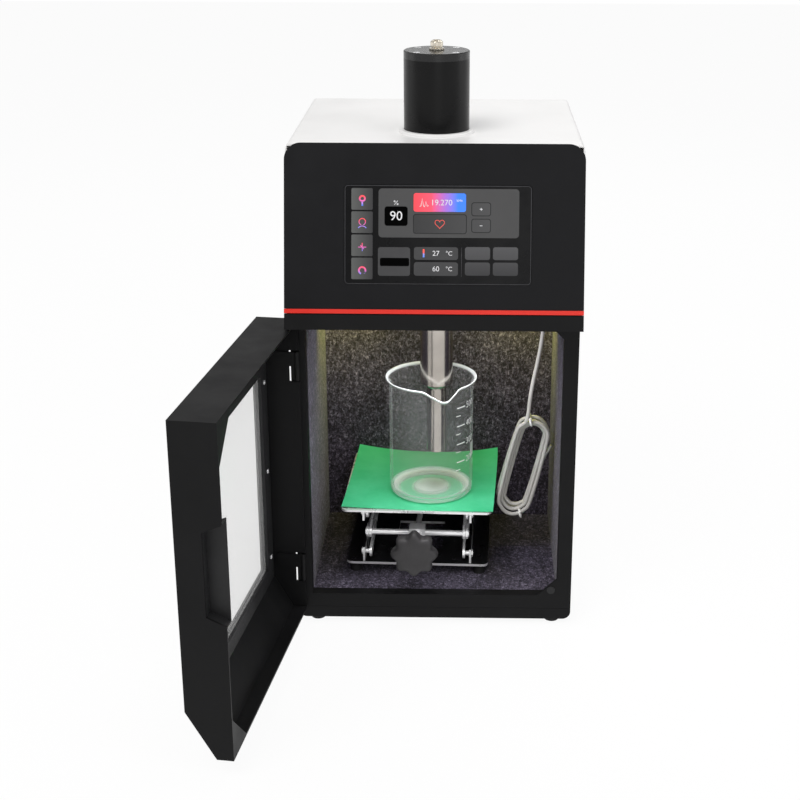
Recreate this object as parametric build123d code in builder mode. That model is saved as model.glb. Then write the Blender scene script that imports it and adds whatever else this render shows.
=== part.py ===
from build123d import *
from math import asin, atan2, cos, degrees, radians, sin, tan
import os

os.makedirs("parts", exist_ok=True)

# A bench probe sonicator: a cabinet with a sound-proof chamber below, a leaning touch panel in
# the head above, a transducer that stands in the top and reaches into a beaker on a scissor jack,
# and a box-shaped door that stands open on the left.
# X runs to the right, Y away from the viewer and Z up, in millimetres. Z = 0 is the bench under
# the feet, Y = 0 the cabinet's front plane and X = 0 the middle of the cabinet.

# Cabinet
case_width = 270.0
case_back = 260.0
clear = 1.0
foot_height = 5.5
foot_radius = 8.0
foot_taper = 1.0
foot_inset_side = 18.0
foot_inset_front = 12.0
tray_height = 11.5
tray_wall = 2.0
tray_corner = 8.0
rib_width = 4.0
sheet = 1.5
seam = 0.2
frame_side = 14.0
frame_foot = 14.2
chamber_top = 318.0
frame_return = 10.0
gusset_leg = 19.0
magnet_inset = 5.9
lining = 10.0
chamber_back = 186.0

# Head and its leaning panel; heights on the panel are measured along its slope
head_bottom = 320.5
overhang = 40.6
lean = 14.9
panel_length = 167.5
panel_lip = 3.0
panel_skin = 2.0
panel_depth = 8.0
panel_corner = 15.0
strip_low = 14.8
strip_height = 4.0
strip_stand = 0.8

# Touch screen
glass_width = 168.5
glass_height = 89.0
glass_x = 3.3
glass_middle = 86.0
glass_thick = 2.2
glass_stand = 0.3
glass_corner = 4.0
module_margin = 5.0
module_frame = 1.6
module_depth = 6.0
board_thick = 1.6

# Door, an open-backed box that swings on two pins at its left edge
door_open = 97.34
door_margin = 4.0
door_depth = 40.0
door_low = 16.6
door_high = 318.4
door_gap = 0.6
door_sheet = 2.0
door_bevel_height = 43.3
door_bevel_depth = 25.4
pin_inset = 1.8
pin_ahead = 2.5
pin_radius = 1.2
knuckle_radius = 2.4
knuckle_height = 14.0
running = 0.05
hinge_heights = (62.0, 272.0)
hinge_leaf = 18.0
notch_across = 7.0
notch_deep = 10.0
notch_play = 1.5
hinge_lap = 1.6
window_side = 22.0
window_free_side = 36.0
window_low = 66.0
window_high = 268.0
window_corner = 3.0
retainer_thick = 6.0
retainer_gap = 1.0
retainer_over = 19.0
retainer_sole = 15.5
pane_thick = 3.0
pane_lap = 8.0
pane_gap = 0.3
pocket_low = 142.0
pocket_high = 232.0
pocket_slope = 7.5
pocket_deep = 17.0
pocket_in = 13.0
pocket_wall = 1.5
corner_plate = 36.0
retainer_screw_radius = 2.2
retainer_screw_inset = 10.0

# Transducer and horn on one upright axis
axis_y = 76.0
housing_radius = 30.7
housing_wall = 2.2
housing_sunk = 5.4
housing_length = 74.0
cap_thick = 7.0
cap_edge = 0.8
ring_radius = 35.7
ring_stand = 3.0
ring_wall = 2.2
seat_thick = 2.0
seat_bore = 20.0
seat_gap = 0.1
horn_radius = 16.15
barrel_length = 251.4
horn_slim = 9.75
horn_step_fillet = 6.0
horn_step_round = 7.5
slim_length = 50.6
tip_length = 16.3
tip_stud = 4.0
tip_stud_length = 12.0
tip_edge = 0.6
horn_hole = 19.0
flange_radius = 27.0
flange_thick = 8.0
stack_radius = 25.0
stack_bore = 7.0
ring_count = 4
ceramic_thick = 5.0
electrode_gap = 0.4
back_mass_height = 24.0
back_mass_edge = 2.0
stack_bolt = 6.0
connector_radius = 4.2
connector_flange = 6.2
connector_flange_height = 3.4
connector_height = 9.0
connector_bore = 1.7

# Scissor jack, turned a little in the chamber; its own places are across and deep from its middle
jack_x = -17.0
jack_y = 106.5
jack_turn = -1.8
jack_foot_height = 10.0
jack_foot_radius = 6.0
base_width = 144.0
base_front = 63.5
base_rear = 66.5
base_plate = 2.5
top_width = 150.0
top_depth = 148.0
top_plate = 2.0
top_surface = 106.2
top_corner = 6.0
arm_length = 112.0
arm_width = 11.0
arm_thick = 2.4
arm_gap = 0.6
arm_inner = 46.2
base_pivot = 52.0
top_pivot = 96.0
ear_gap = 1.4
ear_thick = 2.0
ear_edge = 7.0
pivot_radius = 2.5
pivot_head = 3.8
pivot_head_thick = 1.4
slot_play = 0.3
slot_run = 11.0
slot_middle = 52.6
rod_radius = 3.0
block_radius = 7.0
block_width = 16.0
screw_radius = 3.0
collar_radius = 5.5
collar_thick = 3.0
collar_gap = 0.1
screw_tail = 9.0
knob_reach = 40.0
knob_thick = 15.0
knob_radius = 19.0
lobe_radius = 6.0
lobe_count = 8
lobe_in = 1.5
knob_round = 1.5
knob_neck_radius = 7.5
knob_neck = 6.0

# Mat and beaker on the jack
mat_thick = 0.5
mat_width = 151.0
mat_depth = 150.0
beaker_x = -5.5
beaker_y = 88.2
beaker_radius = 42.35
beaker_wall = 1.8
beaker_base = 3.0
beaker_height = 123.7
beaker_flare = 3.8
beaker_fillet = 6.0

# Sensor on its lead, wound in a hank
lead_radius = 2.0
gland_x = 107.0
gland_y = 95.0
gland_nut = 8.0
gland_body = 5.5
gland_reach = 12.0
gland_taper = 12.0
hank_x = 86.5
hank_y = 100.0
hank_low = 74.0
hank_high = 184.0
hank_width = 38.0
hank_lean = 13.6
hank_band = 12.0
hank_thick = 22.0
rod_tip_radius = 1.6
rod_from = (104.4, 112.8, 117.1)
rod_to = (118.2, 112.8, 145.5)

# Electrical parts in the head and behind the chamber
fan_size = 80.0
fan_depth = 25.0
fan_x = 75.0
fan_drop = 54.4
fan_bore = 38.0
fan_hub = 17.0
fan_spider = 3.0
fan_blades = 7
fan_tip_gap = 1.5
fan_shaft = 2.0
fan_corner = 4.0
fan_shaft_reach = 2.0
rotor_gap = 1.0
blade_thick = 1.4
blade_pitch = 42.0
blade_inset = 3.4
vent_length = 60.0
vent_width = 4.0
vent_pitch = 9.0
vent_count = 7
inlet_x = -85.0
inlet_z = 62.0
inlet_width = 47.0
inlet_height = 27.0
inlet_depth = 22.0
inlet_corner = 3.0
socket_width = 24.5
socket_height = 17.0
blade_width = 2.0
blade_height = 4.0
blade_spacing = 7.0
blade_recess = 3.0
switch_x = -85.0
switch_z = 112.0
switch_width = 21.0
switch_height = 28.0
switch_depth = 18.0
switch_corner = 2.0
bezel_thick = 1.8
bezel_over = 3.0
rocker_gap = 0.4
rocker_tilt = 9.0
rocker_axle = 1.5
rocker_sunk = 3.0
rocker_keel = 4.0
rocker_edge = 0.5
rocker_lip = 5.0
rocker_dip = 3.2
axle_wall = 0.5
lamp_x = -60.0
lamp_y = 60.0
lamp_radius = 14.0
lamp_drop = 3.0
supply_size = (160.0, 44.0, 98.0)
supply_low = 150.0
supply_ear = 12.0
supply_ear_height = 32.0
supply_screw = 2.2
supply_vent_pitch = 16.0
supply_vent_length = 58.0
supply_vent_width = 5.0
power_board = (170.0, 108.0)
power_board_middle = (-20.0, 186.0)
power_board_lift = 9.0
pillar_inset = 6.0
pillar_radius = 3.5
coil_place = (30.0, 198.0)
coil_radius = 20.0
coil_bore = 8.0
coil_height = 18.0
capacitor_place = (20.0, 150.0)
capacitor_pitch = 20.0
capacitor_radius = 8.0
capacitor_height = 26.0
sink_size = (96.0, 56.0, 34.0)
sink_fins = 9
sink_fin = 2.0
sink_base = 6.0
sink_inset = 8.0
screw_head = 3.2
screw_head_thick = 2.0
screw_shank = 1.5
screw_recess = 1.8
magnet_radius = 4.0
magnet_length = 6.0
magnet_stand = 0.3

# Worked-out places
half_case = case_width / 2
door_width = case_width - 2 * door_margin
tray_top = foot_height + tray_height
frame_low = tray_top + seam
opening_half = half_case - frame_side
opening_low = frame_low + frame_foot
shell_half = opening_half + lining + sheet
shell_low = opening_low - lining - sheet
shell_high = chamber_top + lining + sheet
shell_back = chamber_back + lining + sheet
lining_front = sheet + frame_return + seam
wrap_top = head_bottom + panel_length * cos(radians(lean)) - panel_lip
housing_low = wrap_top - housing_sunk
housing_high = housing_low + housing_length
horn_step = housing_low - barrel_length
tip_joint = horn_step - slim_length
tip_end = tip_joint - tip_length
fan_z = wrap_top - fan_drop
lean_plane = Plane(
    origin=(0, -overhang, head_bottom),
    x_dir=(1, 0, 0),
    z_dir=(0, -cos(radians(lean)), sin(radians(lean))),
)


def leaning_y(height, depth):
    """Y of the leaning front at a height, a depth behind its face."""
    rise = height - head_bottom
    return -overhang + rise * tan(radians(lean)) + depth / cos(radians(lean))


def facing(y):
    """Upright plane across the cabinet at y, drawn as (X, Z); extrude by a minus goes back."""
    return Plane.XZ.offset(-y)


# Base tray with the feet under it
with BuildPart() as base_tray:
    with BuildSketch(facing(0)) as tray_outline:
        with Locations((0, foot_height + tray_height / 2)):
            Rectangle(case_width, tray_height)
        fillet(tray_outline.vertices().group_by(Axis.Y)[0], tray_corner)
    extrude(amount=-case_back)
    with BuildSketch(Plane.XY.offset(foot_height + tray_wall)):
        with Locations((0, case_back / 2)):
            Rectangle(case_width - 2 * tray_corner, case_back - 2 * tray_wall)
    extrude(amount=tray_height, mode=Mode.SUBTRACT)
    with BuildSketch(Plane.XY.offset(foot_height + tray_wall)):
        with Locations((0, shell_back / 2)):
            with GridLocations(0, shell_back / 3, 1, 3):
                Rectangle(case_width - 3 * tray_corner, rib_width)
    extrude(amount=shell_low - foot_height - tray_wall)
base_tray.part.label = "base_tray"
export_step(base_tray.part, "parts/base_tray.step")

with BuildPart() as rubber_feet:
    with BuildSketch(Plane.XY):
        with Locations((0, case_back / 2)):
            with GridLocations(
                case_width - 2 * foot_inset_side, case_back - 2 * foot_inset_front, 2, 2
            ):
                Circle(foot_radius - foot_taper)
    extrude(amount=foot_height, taper=-degrees(atan2(foot_taper, foot_height)))
rubber_feet.part.label = "rubber_feet"
export_step(rubber_feet.part, "parts/rubber_feet.step")

# Sheet-metal chamber, open at the front, with a collar round the horn
with BuildPart() as chamber_shell:
    with BuildSketch(facing(sheet)):
        with Locations((0, (shell_low + shell_high) / 2)):
            Rectangle(2 * shell_half, shell_high - shell_low)
    extrude(amount=-(shell_back - sheet))
    with BuildSketch(facing(sheet)):
        with Locations((0, (shell_low + shell_high) / 2)):
            Rectangle(2 * (shell_half - sheet), shell_high - shell_low - 2 * sheet)
    extrude(amount=-(shell_back - 2 * sheet), mode=Mode.SUBTRACT)
    with BuildSketch(Plane.XY.offset(shell_high)):
        with Locations((0, axis_y)):
            Circle(horn_hole + sheet)
    extrude(amount=frame_side)
    with BuildSketch(Plane.XY.offset(shell_high + frame_side)):
        with Locations((0, axis_y)):
            Circle(horn_hole)
    extrude(amount=-(frame_side + 2 * sheet), mode=Mode.SUBTRACT)
    with BuildSketch(Plane.XY.offset(shell_high)):
        with Locations((gland_x, gland_y)):
            Circle(gland_body + seam)
        with Locations((lamp_x, lamp_y)):
            Circle(lamp_radius / 2 + seam)
    extrude(amount=-2 * sheet, mode=Mode.SUBTRACT)
chamber_shell.part.label = "chamber_shell"
export_step(chamber_shell.part, "parts/chamber_shell.step")

# Black front frame with a return lip round the opening and two corner gussets on the catch side
gusset_corners = (
    ((opening_half, opening_low), 1),
    ((opening_half, chamber_top), -1),
)
magnet_places = [
    (corner[0] - magnet_inset, corner[1] + way * magnet_inset) for corner, way in gusset_corners
]
with BuildPart() as front_frame:
    with BuildSketch(facing(0)):
        with Locations((0, (frame_low + head_bottom - seam) / 2)):
            Rectangle(case_width, head_bottom - seam - frame_low)
        with Locations((0, (opening_low + chamber_top) / 2)):
            Rectangle(2 * opening_half, chamber_top - opening_low, mode=Mode.SUBTRACT)
        for (x, z), way in gusset_corners:
            with BuildLine():
                Polyline((x, z), (x - gusset_leg, z), (x, z + way * gusset_leg), close=True)
            make_face()
    extrude(amount=-sheet)
    with BuildSketch(facing(sheet)):
        with Locations((0, (opening_low + chamber_top) / 2)):
            Rectangle(2 * (opening_half + sheet), chamber_top - opening_low + 2 * sheet)
            Rectangle(2 * opening_half, chamber_top - opening_low, mode=Mode.SUBTRACT)
    extrude(amount=-frame_return)
    with BuildSketch(facing(0)):
        with Locations(*magnet_places):
            Circle(magnet_radius + running)
    extrude(amount=-sheet, mode=Mode.SUBTRACT)
front_frame.part.label = "front_frame"
export_step(front_frame.part, "parts/front_frame.step")

with BuildPart() as catch_magnets:
    with BuildSketch(facing(-magnet_stand)):
        with Locations(*magnet_places):
            Circle(magnet_radius)
    extrude(amount=-magnet_length)
catch_magnets.part.label = "catch_magnets"
export_step(catch_magnets.part, "parts/catch_magnets.step")

# Sound-proof foam lining, one board for each side of the chamber
lining_length = shell_back - sheet - lining_front
with BuildPart() as floor_lining:
    with BuildSketch(Plane.XY.offset(opening_low)):
        with Locations((0, lining_front + lining_length / 2)):
            Rectangle(2 * (shell_half - sheet), lining_length)
    extrude(amount=-lining)
floor_lining.part.label = "floor_lining"
export_step(floor_lining.part, "parts/floor_lining.step")

with BuildPart() as side_linings:
    with BuildSketch(Plane.XY.offset(opening_low)):
        with Locations((0, lining_front + lining_length / 2)):
            with GridLocations(2 * opening_half + lining, 0, 2, 1):
                Rectangle(lining, lining_length)
    extrude(amount=chamber_top - opening_low)
side_linings.part.label = "side_linings"
export_step(side_linings.part, "parts/side_linings.step")

with BuildPart() as back_lining:
    with BuildSketch(Plane.XY.offset(opening_low)):
        with Locations((0, chamber_back + lining / 2)):
            Rectangle(2 * opening_half, lining)
    extrude(amount=chamber_top - opening_low)
back_lining.part.label = "back_lining"
export_step(back_lining.part, "parts/back_lining.step")

with BuildPart() as ceiling_lining:
    with BuildSketch(Plane.XY.offset(chamber_top)):
        with Locations((0, lining_front + lining_length / 2)):
            Rectangle(2 * (shell_half - sheet), lining_length)
        with Locations((0, axis_y)):
            Circle(horn_hole, mode=Mode.SUBTRACT)
        with Locations((gland_x, gland_y)):
            Circle(gland_body + seam, mode=Mode.SUBTRACT)
        with Locations((lamp_x, lamp_y)):
            Circle(lamp_radius / 2 + seam, mode=Mode.SUBTRACT)
    extrude(amount=lining)
ceiling_lining.part.label = "ceiling_lining"
export_step(ceiling_lining.part, "parts/ceiling_lining.step")

# White wrap: both sides and the top, folded from one sheet
wrap_front = sheet + seam
wrap_knee = head_bottom + sheet + seam
wrap_depth = panel_depth + seam
ring_hole = housing_radius + ring_wall + seam
with BuildPart() as outer_wrap:
    with BuildSketch(Plane.YZ.offset(-half_case)):
        with BuildLine():
            Polyline(
                (wrap_front, frame_low),
                (wrap_front, wrap_knee),
                (leaning_y(wrap_knee, wrap_depth), wrap_knee),
                (leaning_y(wrap_top, wrap_depth), wrap_top),
                (case_back, wrap_top),
                (case_back, frame_low),
                close=True,
            )
        make_face()
    extrude(amount=case_width)
    fillet(outer_wrap.edges().filter_by(Axis.Y).group_by(Axis.Z)[-1], tray_corner / 2)
    with BuildSketch(facing(-overhang)):
        with Locations((0, (wrap_top - sheet) / 2)):
            Rectangle(case_width - 2 * sheet, wrap_top - sheet)
    extrude(amount=-(case_back + 2 * overhang), mode=Mode.SUBTRACT)
    with BuildSketch(Plane.XY.offset(wrap_top)):
        with Locations((0, axis_y)):
            Circle(ring_hole)
    extrude(amount=-2 * sheet, mode=Mode.SUBTRACT)
outer_wrap.part.label = "outer_wrap"
export_step(outer_wrap.part, "parts/outer_wrap.step")

# Black sill under the head: the band below the red strip and the plate over the door
sill_front_top = (
    head_bottom + (strip_low - seam) * cos(radians(lean)) - panel_skin * sin(radians(lean))
)
with BuildPart() as head_sill:
    with BuildSketch(Plane.YZ.offset(-half_case)):
        with BuildLine():
            Polyline(
                (-overhang, head_bottom),
                (leaning_y(sill_front_top, 0), sill_front_top),
                (leaning_y(sill_front_top, 0) + panel_skin, sill_front_top),
                (leaning_y(head_bottom + sheet, 0) + panel_skin, head_bottom + sheet),
                (sheet, head_bottom + sheet),
                (sheet, head_bottom),
                close=True,
            )
        make_face()
    extrude(amount=case_width)
head_sill.part.label = "head_sill"
export_step(head_sill.part, "parts/head_sill.step")

# Red strip across the head
strip_top = strip_low + strip_height
with BuildPart() as accent_strip:
    with BuildSketch(lean_plane.offset(strip_stand)):
        with Locations((0, (strip_low + strip_top) / 2)):
            Rectangle(case_width, strip_height)
    extrude(amount=-(panel_skin + strip_stand))
    fillet(accent_strip.edges().filter_by(Axis.X).group_by(Axis.Y)[0], strip_stand / 2)
accent_strip.part.label = "accent_strip"
export_step(accent_strip.part, "parts/accent_strip.step")

# Black leaning panel: a shallow tray with round upper corners and the screen's cut-out
panel_low = strip_top + seam
panel_height = panel_length - panel_low
glass_centre = (glass_x, glass_middle)
with BuildPart() as front_panel:
    with BuildSketch(lean_plane) as panel_outline:
        with Locations((0, panel_low + panel_height / 2)):
            Rectangle(case_width, panel_height)
        fillet(panel_outline.vertices().group_by(Axis.Y)[-1], panel_corner)
    extrude(amount=-panel_depth)
    with BuildSketch(lean_plane.offset(-panel_skin)) as panel_hollow:
        with Locations((0, panel_low + panel_height / 2)):
            Rectangle(case_width - 2 * panel_skin, panel_height - 2 * panel_skin)
        fillet(panel_hollow.vertices().group_by(Axis.Y)[-1], panel_corner - panel_skin)
    extrude(amount=-panel_depth, mode=Mode.SUBTRACT)
    with BuildSketch(lean_plane):
        with Locations(glass_centre):
            RectangleRounded(
                glass_width + 2 * seam, glass_height + 2 * seam, glass_corner + seam
            )
    extrude(amount=-panel_skin, mode=Mode.SUBTRACT)
front_panel.part.label = "front_panel"
export_step(front_panel.part, "parts/front_panel.step")

with BuildPart() as touch_glass:
    with BuildSketch(lean_plane.offset(glass_stand)):
        with Locations(glass_centre):
            RectangleRounded(glass_width, glass_height, glass_corner)
    extrude(amount=-glass_thick)
    chamfer(touch_glass.faces().sort_by(Axis.Y)[0].edges(), glass_stand / 2)
touch_glass.part.label = "touch_glass"
export_step(touch_glass.part, "parts/touch_glass.step")

# Screen module behind the glass: mounting plate, display box and its board
module_back = panel_skin + seam
with BuildPart() as display_module:
    with BuildSketch(lean_plane.offset(-module_back)):
        with Locations(glass_centre):
            Rectangle(glass_width + 2 * module_margin, glass_height + 2 * module_margin)
    extrude(amount=-module_frame)
    with BuildSketch(lean_plane.offset(-module_back - module_frame)):
        with Locations(glass_centre):
            Rectangle(glass_width, glass_height)
    extrude(amount=-module_depth)
    with BuildSketch(lean_plane.offset(-module_back - module_frame - module_depth)):
        with Locations(glass_centre):
            Rectangle(glass_width - 4 * module_margin, glass_height - 2 * module_margin)
            with GridLocations(glass_width / 4, glass_height / 3, 3, 2):
                Rectangle(glass_width / 9, glass_height / 6, mode=Mode.SUBTRACT)
    extrude(amount=-board_thick)
display_module.part.label = "display_module"
export_step(display_module.part, "parts/display_module.step")

# Rear panel with its cut-outs, vents and screws
rear_half = half_case - sheet - seam
rear_low = frame_low
rear_high = wrap_top - sheet - seam
rear_screw_places = [
    (side * (rear_half - 2 * screw_head), z)
    for side in (-1, 1)
    for z in (
        rear_low + 3 * screw_head,
        rear_low + (rear_high - rear_low) / 3,
        rear_low + (rear_high - rear_low) * 2 / 3,
        rear_high - 3 * screw_head,
    )
]
with BuildPart() as rear_panel:
    with BuildSketch(facing(case_back - sheet)):
        with Locations((0, (rear_low + rear_high) / 2)):
            Rectangle(2 * rear_half, rear_high - rear_low)
        with Locations((inlet_x, inlet_z)):
            Rectangle(inlet_width + 2 * seam, inlet_height + 2 * seam, mode=Mode.SUBTRACT)
        with Locations((switch_x, switch_z)):
            Rectangle(switch_width + 2 * seam, switch_height + 2 * seam, mode=Mode.SUBTRACT)
        with Locations((fan_x, fan_z)):
            with GridLocations(vent_pitch, 0, vent_count, 1):
                SlotOverall(vent_length, vent_width, rotation=90, mode=Mode.SUBTRACT)
        with Locations((-fan_x, fan_z)):
            with GridLocations(vent_pitch, 0, vent_count, 1):
                SlotOverall(vent_length, vent_width, rotation=90, mode=Mode.SUBTRACT)
        with Locations(*rear_screw_places):
            Circle(screw_shank + running, mode=Mode.SUBTRACT)
    extrude(amount=-sheet)
rear_panel.part.label = "rear_panel"
export_step(rear_panel.part, "parts/rear_panel.step")

with BuildPart() as rear_screws:
    with BuildSketch(facing(case_back)):
        with Locations(*rear_screw_places):
            Circle(screw_head)
    extrude(amount=-screw_head_thick)
    chamfer(rear_screws.faces().group_by(Axis.Y)[-1].edges(), screw_head_thick / 3)
    with BuildSketch(facing(case_back)):
        with Locations(*rear_screw_places):
            Circle(screw_shank)
    extrude(amount=3 * sheet)
rear_screws.part.label = "rear_screws"
export_step(rear_screws.part, "parts/rear_screws.step")

# Cooling fan behind the rear panel
fan_front = case_back - sheet - seam - fan_depth
with BuildPart() as fan_frame:
    with BuildSketch(facing(fan_front)):
        with Locations((fan_x, fan_z)):
            RectangleRounded(fan_size, fan_size, fan_corner)
            Circle(fan_bore, mode=Mode.SUBTRACT)
    extrude(amount=-fan_depth)
    with BuildSketch(facing(fan_front)):
        with Locations((fan_x, fan_z)):
            Circle(fan_hub)
            Rectangle(2 * fan_bore + clear, fan_spider)
            Rectangle(fan_spider, 2 * fan_bore + clear)
            Circle(fan_shaft + running, mode=Mode.SUBTRACT)
    extrude(amount=-fan_spider)
fan_frame.part.label = "fan_frame"
export_step(fan_frame.part, "parts/fan_frame.step")

rotor_front = fan_front + fan_spider + rotor_gap
rotor_depth = fan_depth - fan_spider - 4 * rotor_gap
blade_root = fan_hub - blade_inset
blade_reach = fan_bore - fan_tip_gap - clear
with BuildPart() as fan_rotor:
    with BuildSketch(facing(rotor_front)):
        with Locations((fan_x, fan_z)):
            Circle(fan_hub)
    extrude(amount=-rotor_depth)
    with BuildSketch(facing(fan_front)):
        with Locations((fan_x, fan_z)):
            Circle(fan_shaft)
    extrude(amount=-(fan_spider + fan_shaft_reach))
    for turn in range(fan_blades):
        angle = 360.0 / fan_blades * turn
        blade_plane = Plane(
            origin=(
                fan_x + blade_root * cos(radians(angle)),
                rotor_front + rotor_depth / 2,
                fan_z + blade_root * sin(radians(angle)),
            ),
            x_dir=(-sin(radians(angle)), 0, cos(radians(angle))),
            z_dir=(cos(radians(angle)), 0, sin(radians(angle))),
        )
        with BuildSketch(blade_plane):
            Rectangle(rotor_depth, blade_thick, rotation=blade_pitch)
        extrude(amount=blade_reach - blade_root)
fan_rotor.part.label = "fan_rotor"
export_step(fan_rotor.part, "parts/fan_rotor.step")

# Mains inlet and rear power switch
with BuildPart() as power_inlet:
    with BuildSketch(facing(case_back - inlet_depth)):
        with Locations((inlet_x, inlet_z)):
            Rectangle(inlet_width, inlet_height)
    extrude(amount=-inlet_depth)
    with BuildSketch(facing(case_back)):
        with Locations((inlet_x, inlet_z)):
            RectangleRounded(inlet_width + 2 * bezel_over, inlet_height + 2 * bezel_over, inlet_corner)
    extrude(amount=-bezel_thick)
    with BuildSketch(facing(case_back - inlet_depth + bezel_over)):
        with Locations((inlet_x, inlet_z)):
            Rectangle(socket_width, socket_height)
            with GridLocations(blade_spacing, 0, 3, 1):
                Rectangle(blade_width, blade_height, mode=Mode.SUBTRACT)
    extrude(amount=-(inlet_depth + bezel_thick), mode=Mode.SUBTRACT)
    with BuildSketch(facing(case_back + bezel_thick - blade_recess)):
        with Locations((inlet_x, inlet_z)):
            Rectangle(socket_width, socket_height)
    extrude(amount=-(blade_recess + clear), mode=Mode.SUBTRACT)
power_inlet.part.label = "power_inlet"
export_step(power_inlet.part, "parts/power_inlet.step")

rocker_y = case_back + bezel_thick - rocker_sunk
with BuildPart() as switch_body:
    with BuildSketch(facing(case_back - switch_depth)):
        with Locations((switch_x, switch_z)):
            Rectangle(switch_width, switch_height)
    extrude(amount=-switch_depth)
    with BuildSketch(facing(case_back)):
        with Locations((switch_x, switch_z)):
            RectangleRounded(switch_width + bezel_over, switch_height + bezel_over, switch_corner)
    extrude(amount=-bezel_thick)
    with BuildSketch(facing(case_back - switch_depth / 2)):
        with Locations((switch_x, switch_z)):
            Rectangle(switch_width - 2 * sheet, switch_height - 2 * sheet)
    extrude(amount=-switch_depth, mode=Mode.SUBTRACT)
    with BuildSketch(Plane.YZ.offset(switch_x - switch_width / 2 + axle_wall)):
        with Locations((rocker_y, switch_z)):
            Circle(rocker_axle + running)
    extrude(amount=switch_width - 2 * axle_wall, mode=Mode.SUBTRACT)
switch_body.part.label = "switch_body"
export_step(switch_body.part, "parts/switch_body.step")

# The rocker is a shallow vee that tips on its axle; at rest its lower half is pressed in
rocker_width = switch_width - 2 * sheet - 2 * rocker_gap
rocker_half = switch_height / 2 - sheet - 2 * rocker_gap
rocker_plane = Plane(
    origin=(switch_x - rocker_width / 2, rocker_y, switch_z),
    x_dir=(0, cos(radians(rocker_tilt)), sin(radians(rocker_tilt))),
    z_dir=(1, 0, 0),
)
with BuildPart() as switch_rocker:
    with BuildSketch(rocker_plane):
        with BuildLine():
            Polyline(
                (-rocker_keel, -rocker_keel),
                (rocker_edge, -rocker_half),
                (rocker_lip, -rocker_half),
                (rocker_dip, 0),
                (rocker_lip, rocker_half),
                (rocker_edge, rocker_half),
                (-rocker_keel, rocker_keel),
                close=True,
            )
        make_face()
    extrude(amount=rocker_width)
    with BuildSketch(Plane.YZ.offset(switch_x - switch_width / 2 + axle_wall + seam)):
        with Locations((rocker_y, switch_z)):
            Circle(rocker_axle)
    extrude(amount=switch_width - 2 * (axle_wall + seam))
switch_rocker.part.label = "switch_rocker"
export_step(switch_rocker.part, "parts/switch_rocker.step")

# Power supply on the chamber's back wall
with BuildPart() as power_supply:
    with BuildSketch(facing(shell_back)):
        with Locations((0, supply_low + supply_size[2] / 2)):
            Rectangle(supply_size[0], supply_size[2])
    extrude(amount=-supply_size[1])
    with BuildSketch(facing(shell_back)):
        with Locations((0, supply_low + supply_size[2] / 2)):
            Rectangle(supply_size[0] + 2 * supply_ear, supply_ear_height)
            with GridLocations(supply_size[0] + supply_ear, 0, 2, 1):
                Circle(supply_screw, mode=Mode.SUBTRACT)
    extrude(amount=-sheet)
    with BuildSketch(facing(shell_back + supply_size[1])):
        with Locations((0, supply_low + supply_size[2] / 2)):
            with GridLocations(supply_vent_pitch, 0, vent_count, 1):
                SlotOverall(supply_vent_length, supply_vent_width, rotation=90)
    extrude(amount=sheet, mode=Mode.SUBTRACT)
power_supply.part.label = "power_supply"
export_step(power_supply.part, "parts/power_supply.step")

# Ultrasonic generator board on pillars over the chamber, with its finned heat sink
board_low = shell_high + power_board_lift
sink_x = power_board_middle[0] - power_board[0] / 2 + sink_size[0] / 2 + sink_inset
with BuildPart() as generator_board:
    with BuildSketch(Plane.XY.offset(board_low)):
        with Locations(power_board_middle):
            Rectangle(*power_board)
    extrude(amount=board_thick)
    with BuildSketch(Plane.XY.offset(shell_high)):
        with Locations(power_board_middle):
            with GridLocations(
                power_board[0] - 2 * pillar_inset, power_board[1] - 2 * pillar_inset, 2, 2
            ):
                Circle(pillar_radius)
    extrude(amount=power_board_lift)
    with BuildSketch(Plane.XY.offset(board_low + board_thick)):
        with Locations(coil_place):
            Circle(coil_radius)
            Circle(coil_bore, mode=Mode.SUBTRACT)
    extrude(amount=coil_height)
    with BuildSketch(Plane.XY.offset(board_low + board_thick)):
        with Locations(capacitor_place):
            with GridLocations(capacitor_pitch, 0, 3, 1):
                Circle(capacitor_radius)
    extrude(amount=capacitor_height)
generator_board.part.label = "generator_board"
export_step(generator_board.part, "parts/generator_board.step")

with BuildPart() as heat_sink:
    with BuildSketch(Plane.XY.offset(board_low + board_thick)):
        with Locations((sink_x, power_board_middle[1])):
            Rectangle(sink_size[0], sink_size[1])
    extrude(amount=sink_base)
    with BuildSketch(Plane.XY.offset(board_low + board_thick + sink_base)):
        with Locations((sink_x, power_board_middle[1])):
            with GridLocations((sink_size[0] - sink_fin) / (sink_fins - 1), 0, sink_fins, 1):
                Rectangle(sink_fin, sink_size[1])
    extrude(amount=sink_size[2] - sink_base)
heat_sink.part.label = "heat_sink"
export_step(heat_sink.part, "parts/heat_sink.step")

# Lamp in the chamber's ceiling: a lens below the lining and a neck through it
with BuildPart() as chamber_lamp:
    with BuildSketch(Plane.XY.offset(chamber_top - lamp_drop)):
        with Locations((lamp_x, lamp_y)):
            Circle(lamp_radius)
    extrude(amount=lamp_drop)
    fillet(chamber_lamp.faces().sort_by(Axis.Z)[0].edges(), lamp_drop / 2)
    with BuildSketch(Plane.XY.offset(chamber_top)):
        with Locations((lamp_x, lamp_y)):
            Circle(lamp_radius / 2)
    extrude(amount=lining + 3 * sheet)
chamber_lamp.part.label = "chamber_lamp"
export_step(chamber_lamp.part, "parts/chamber_lamp.step")

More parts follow.
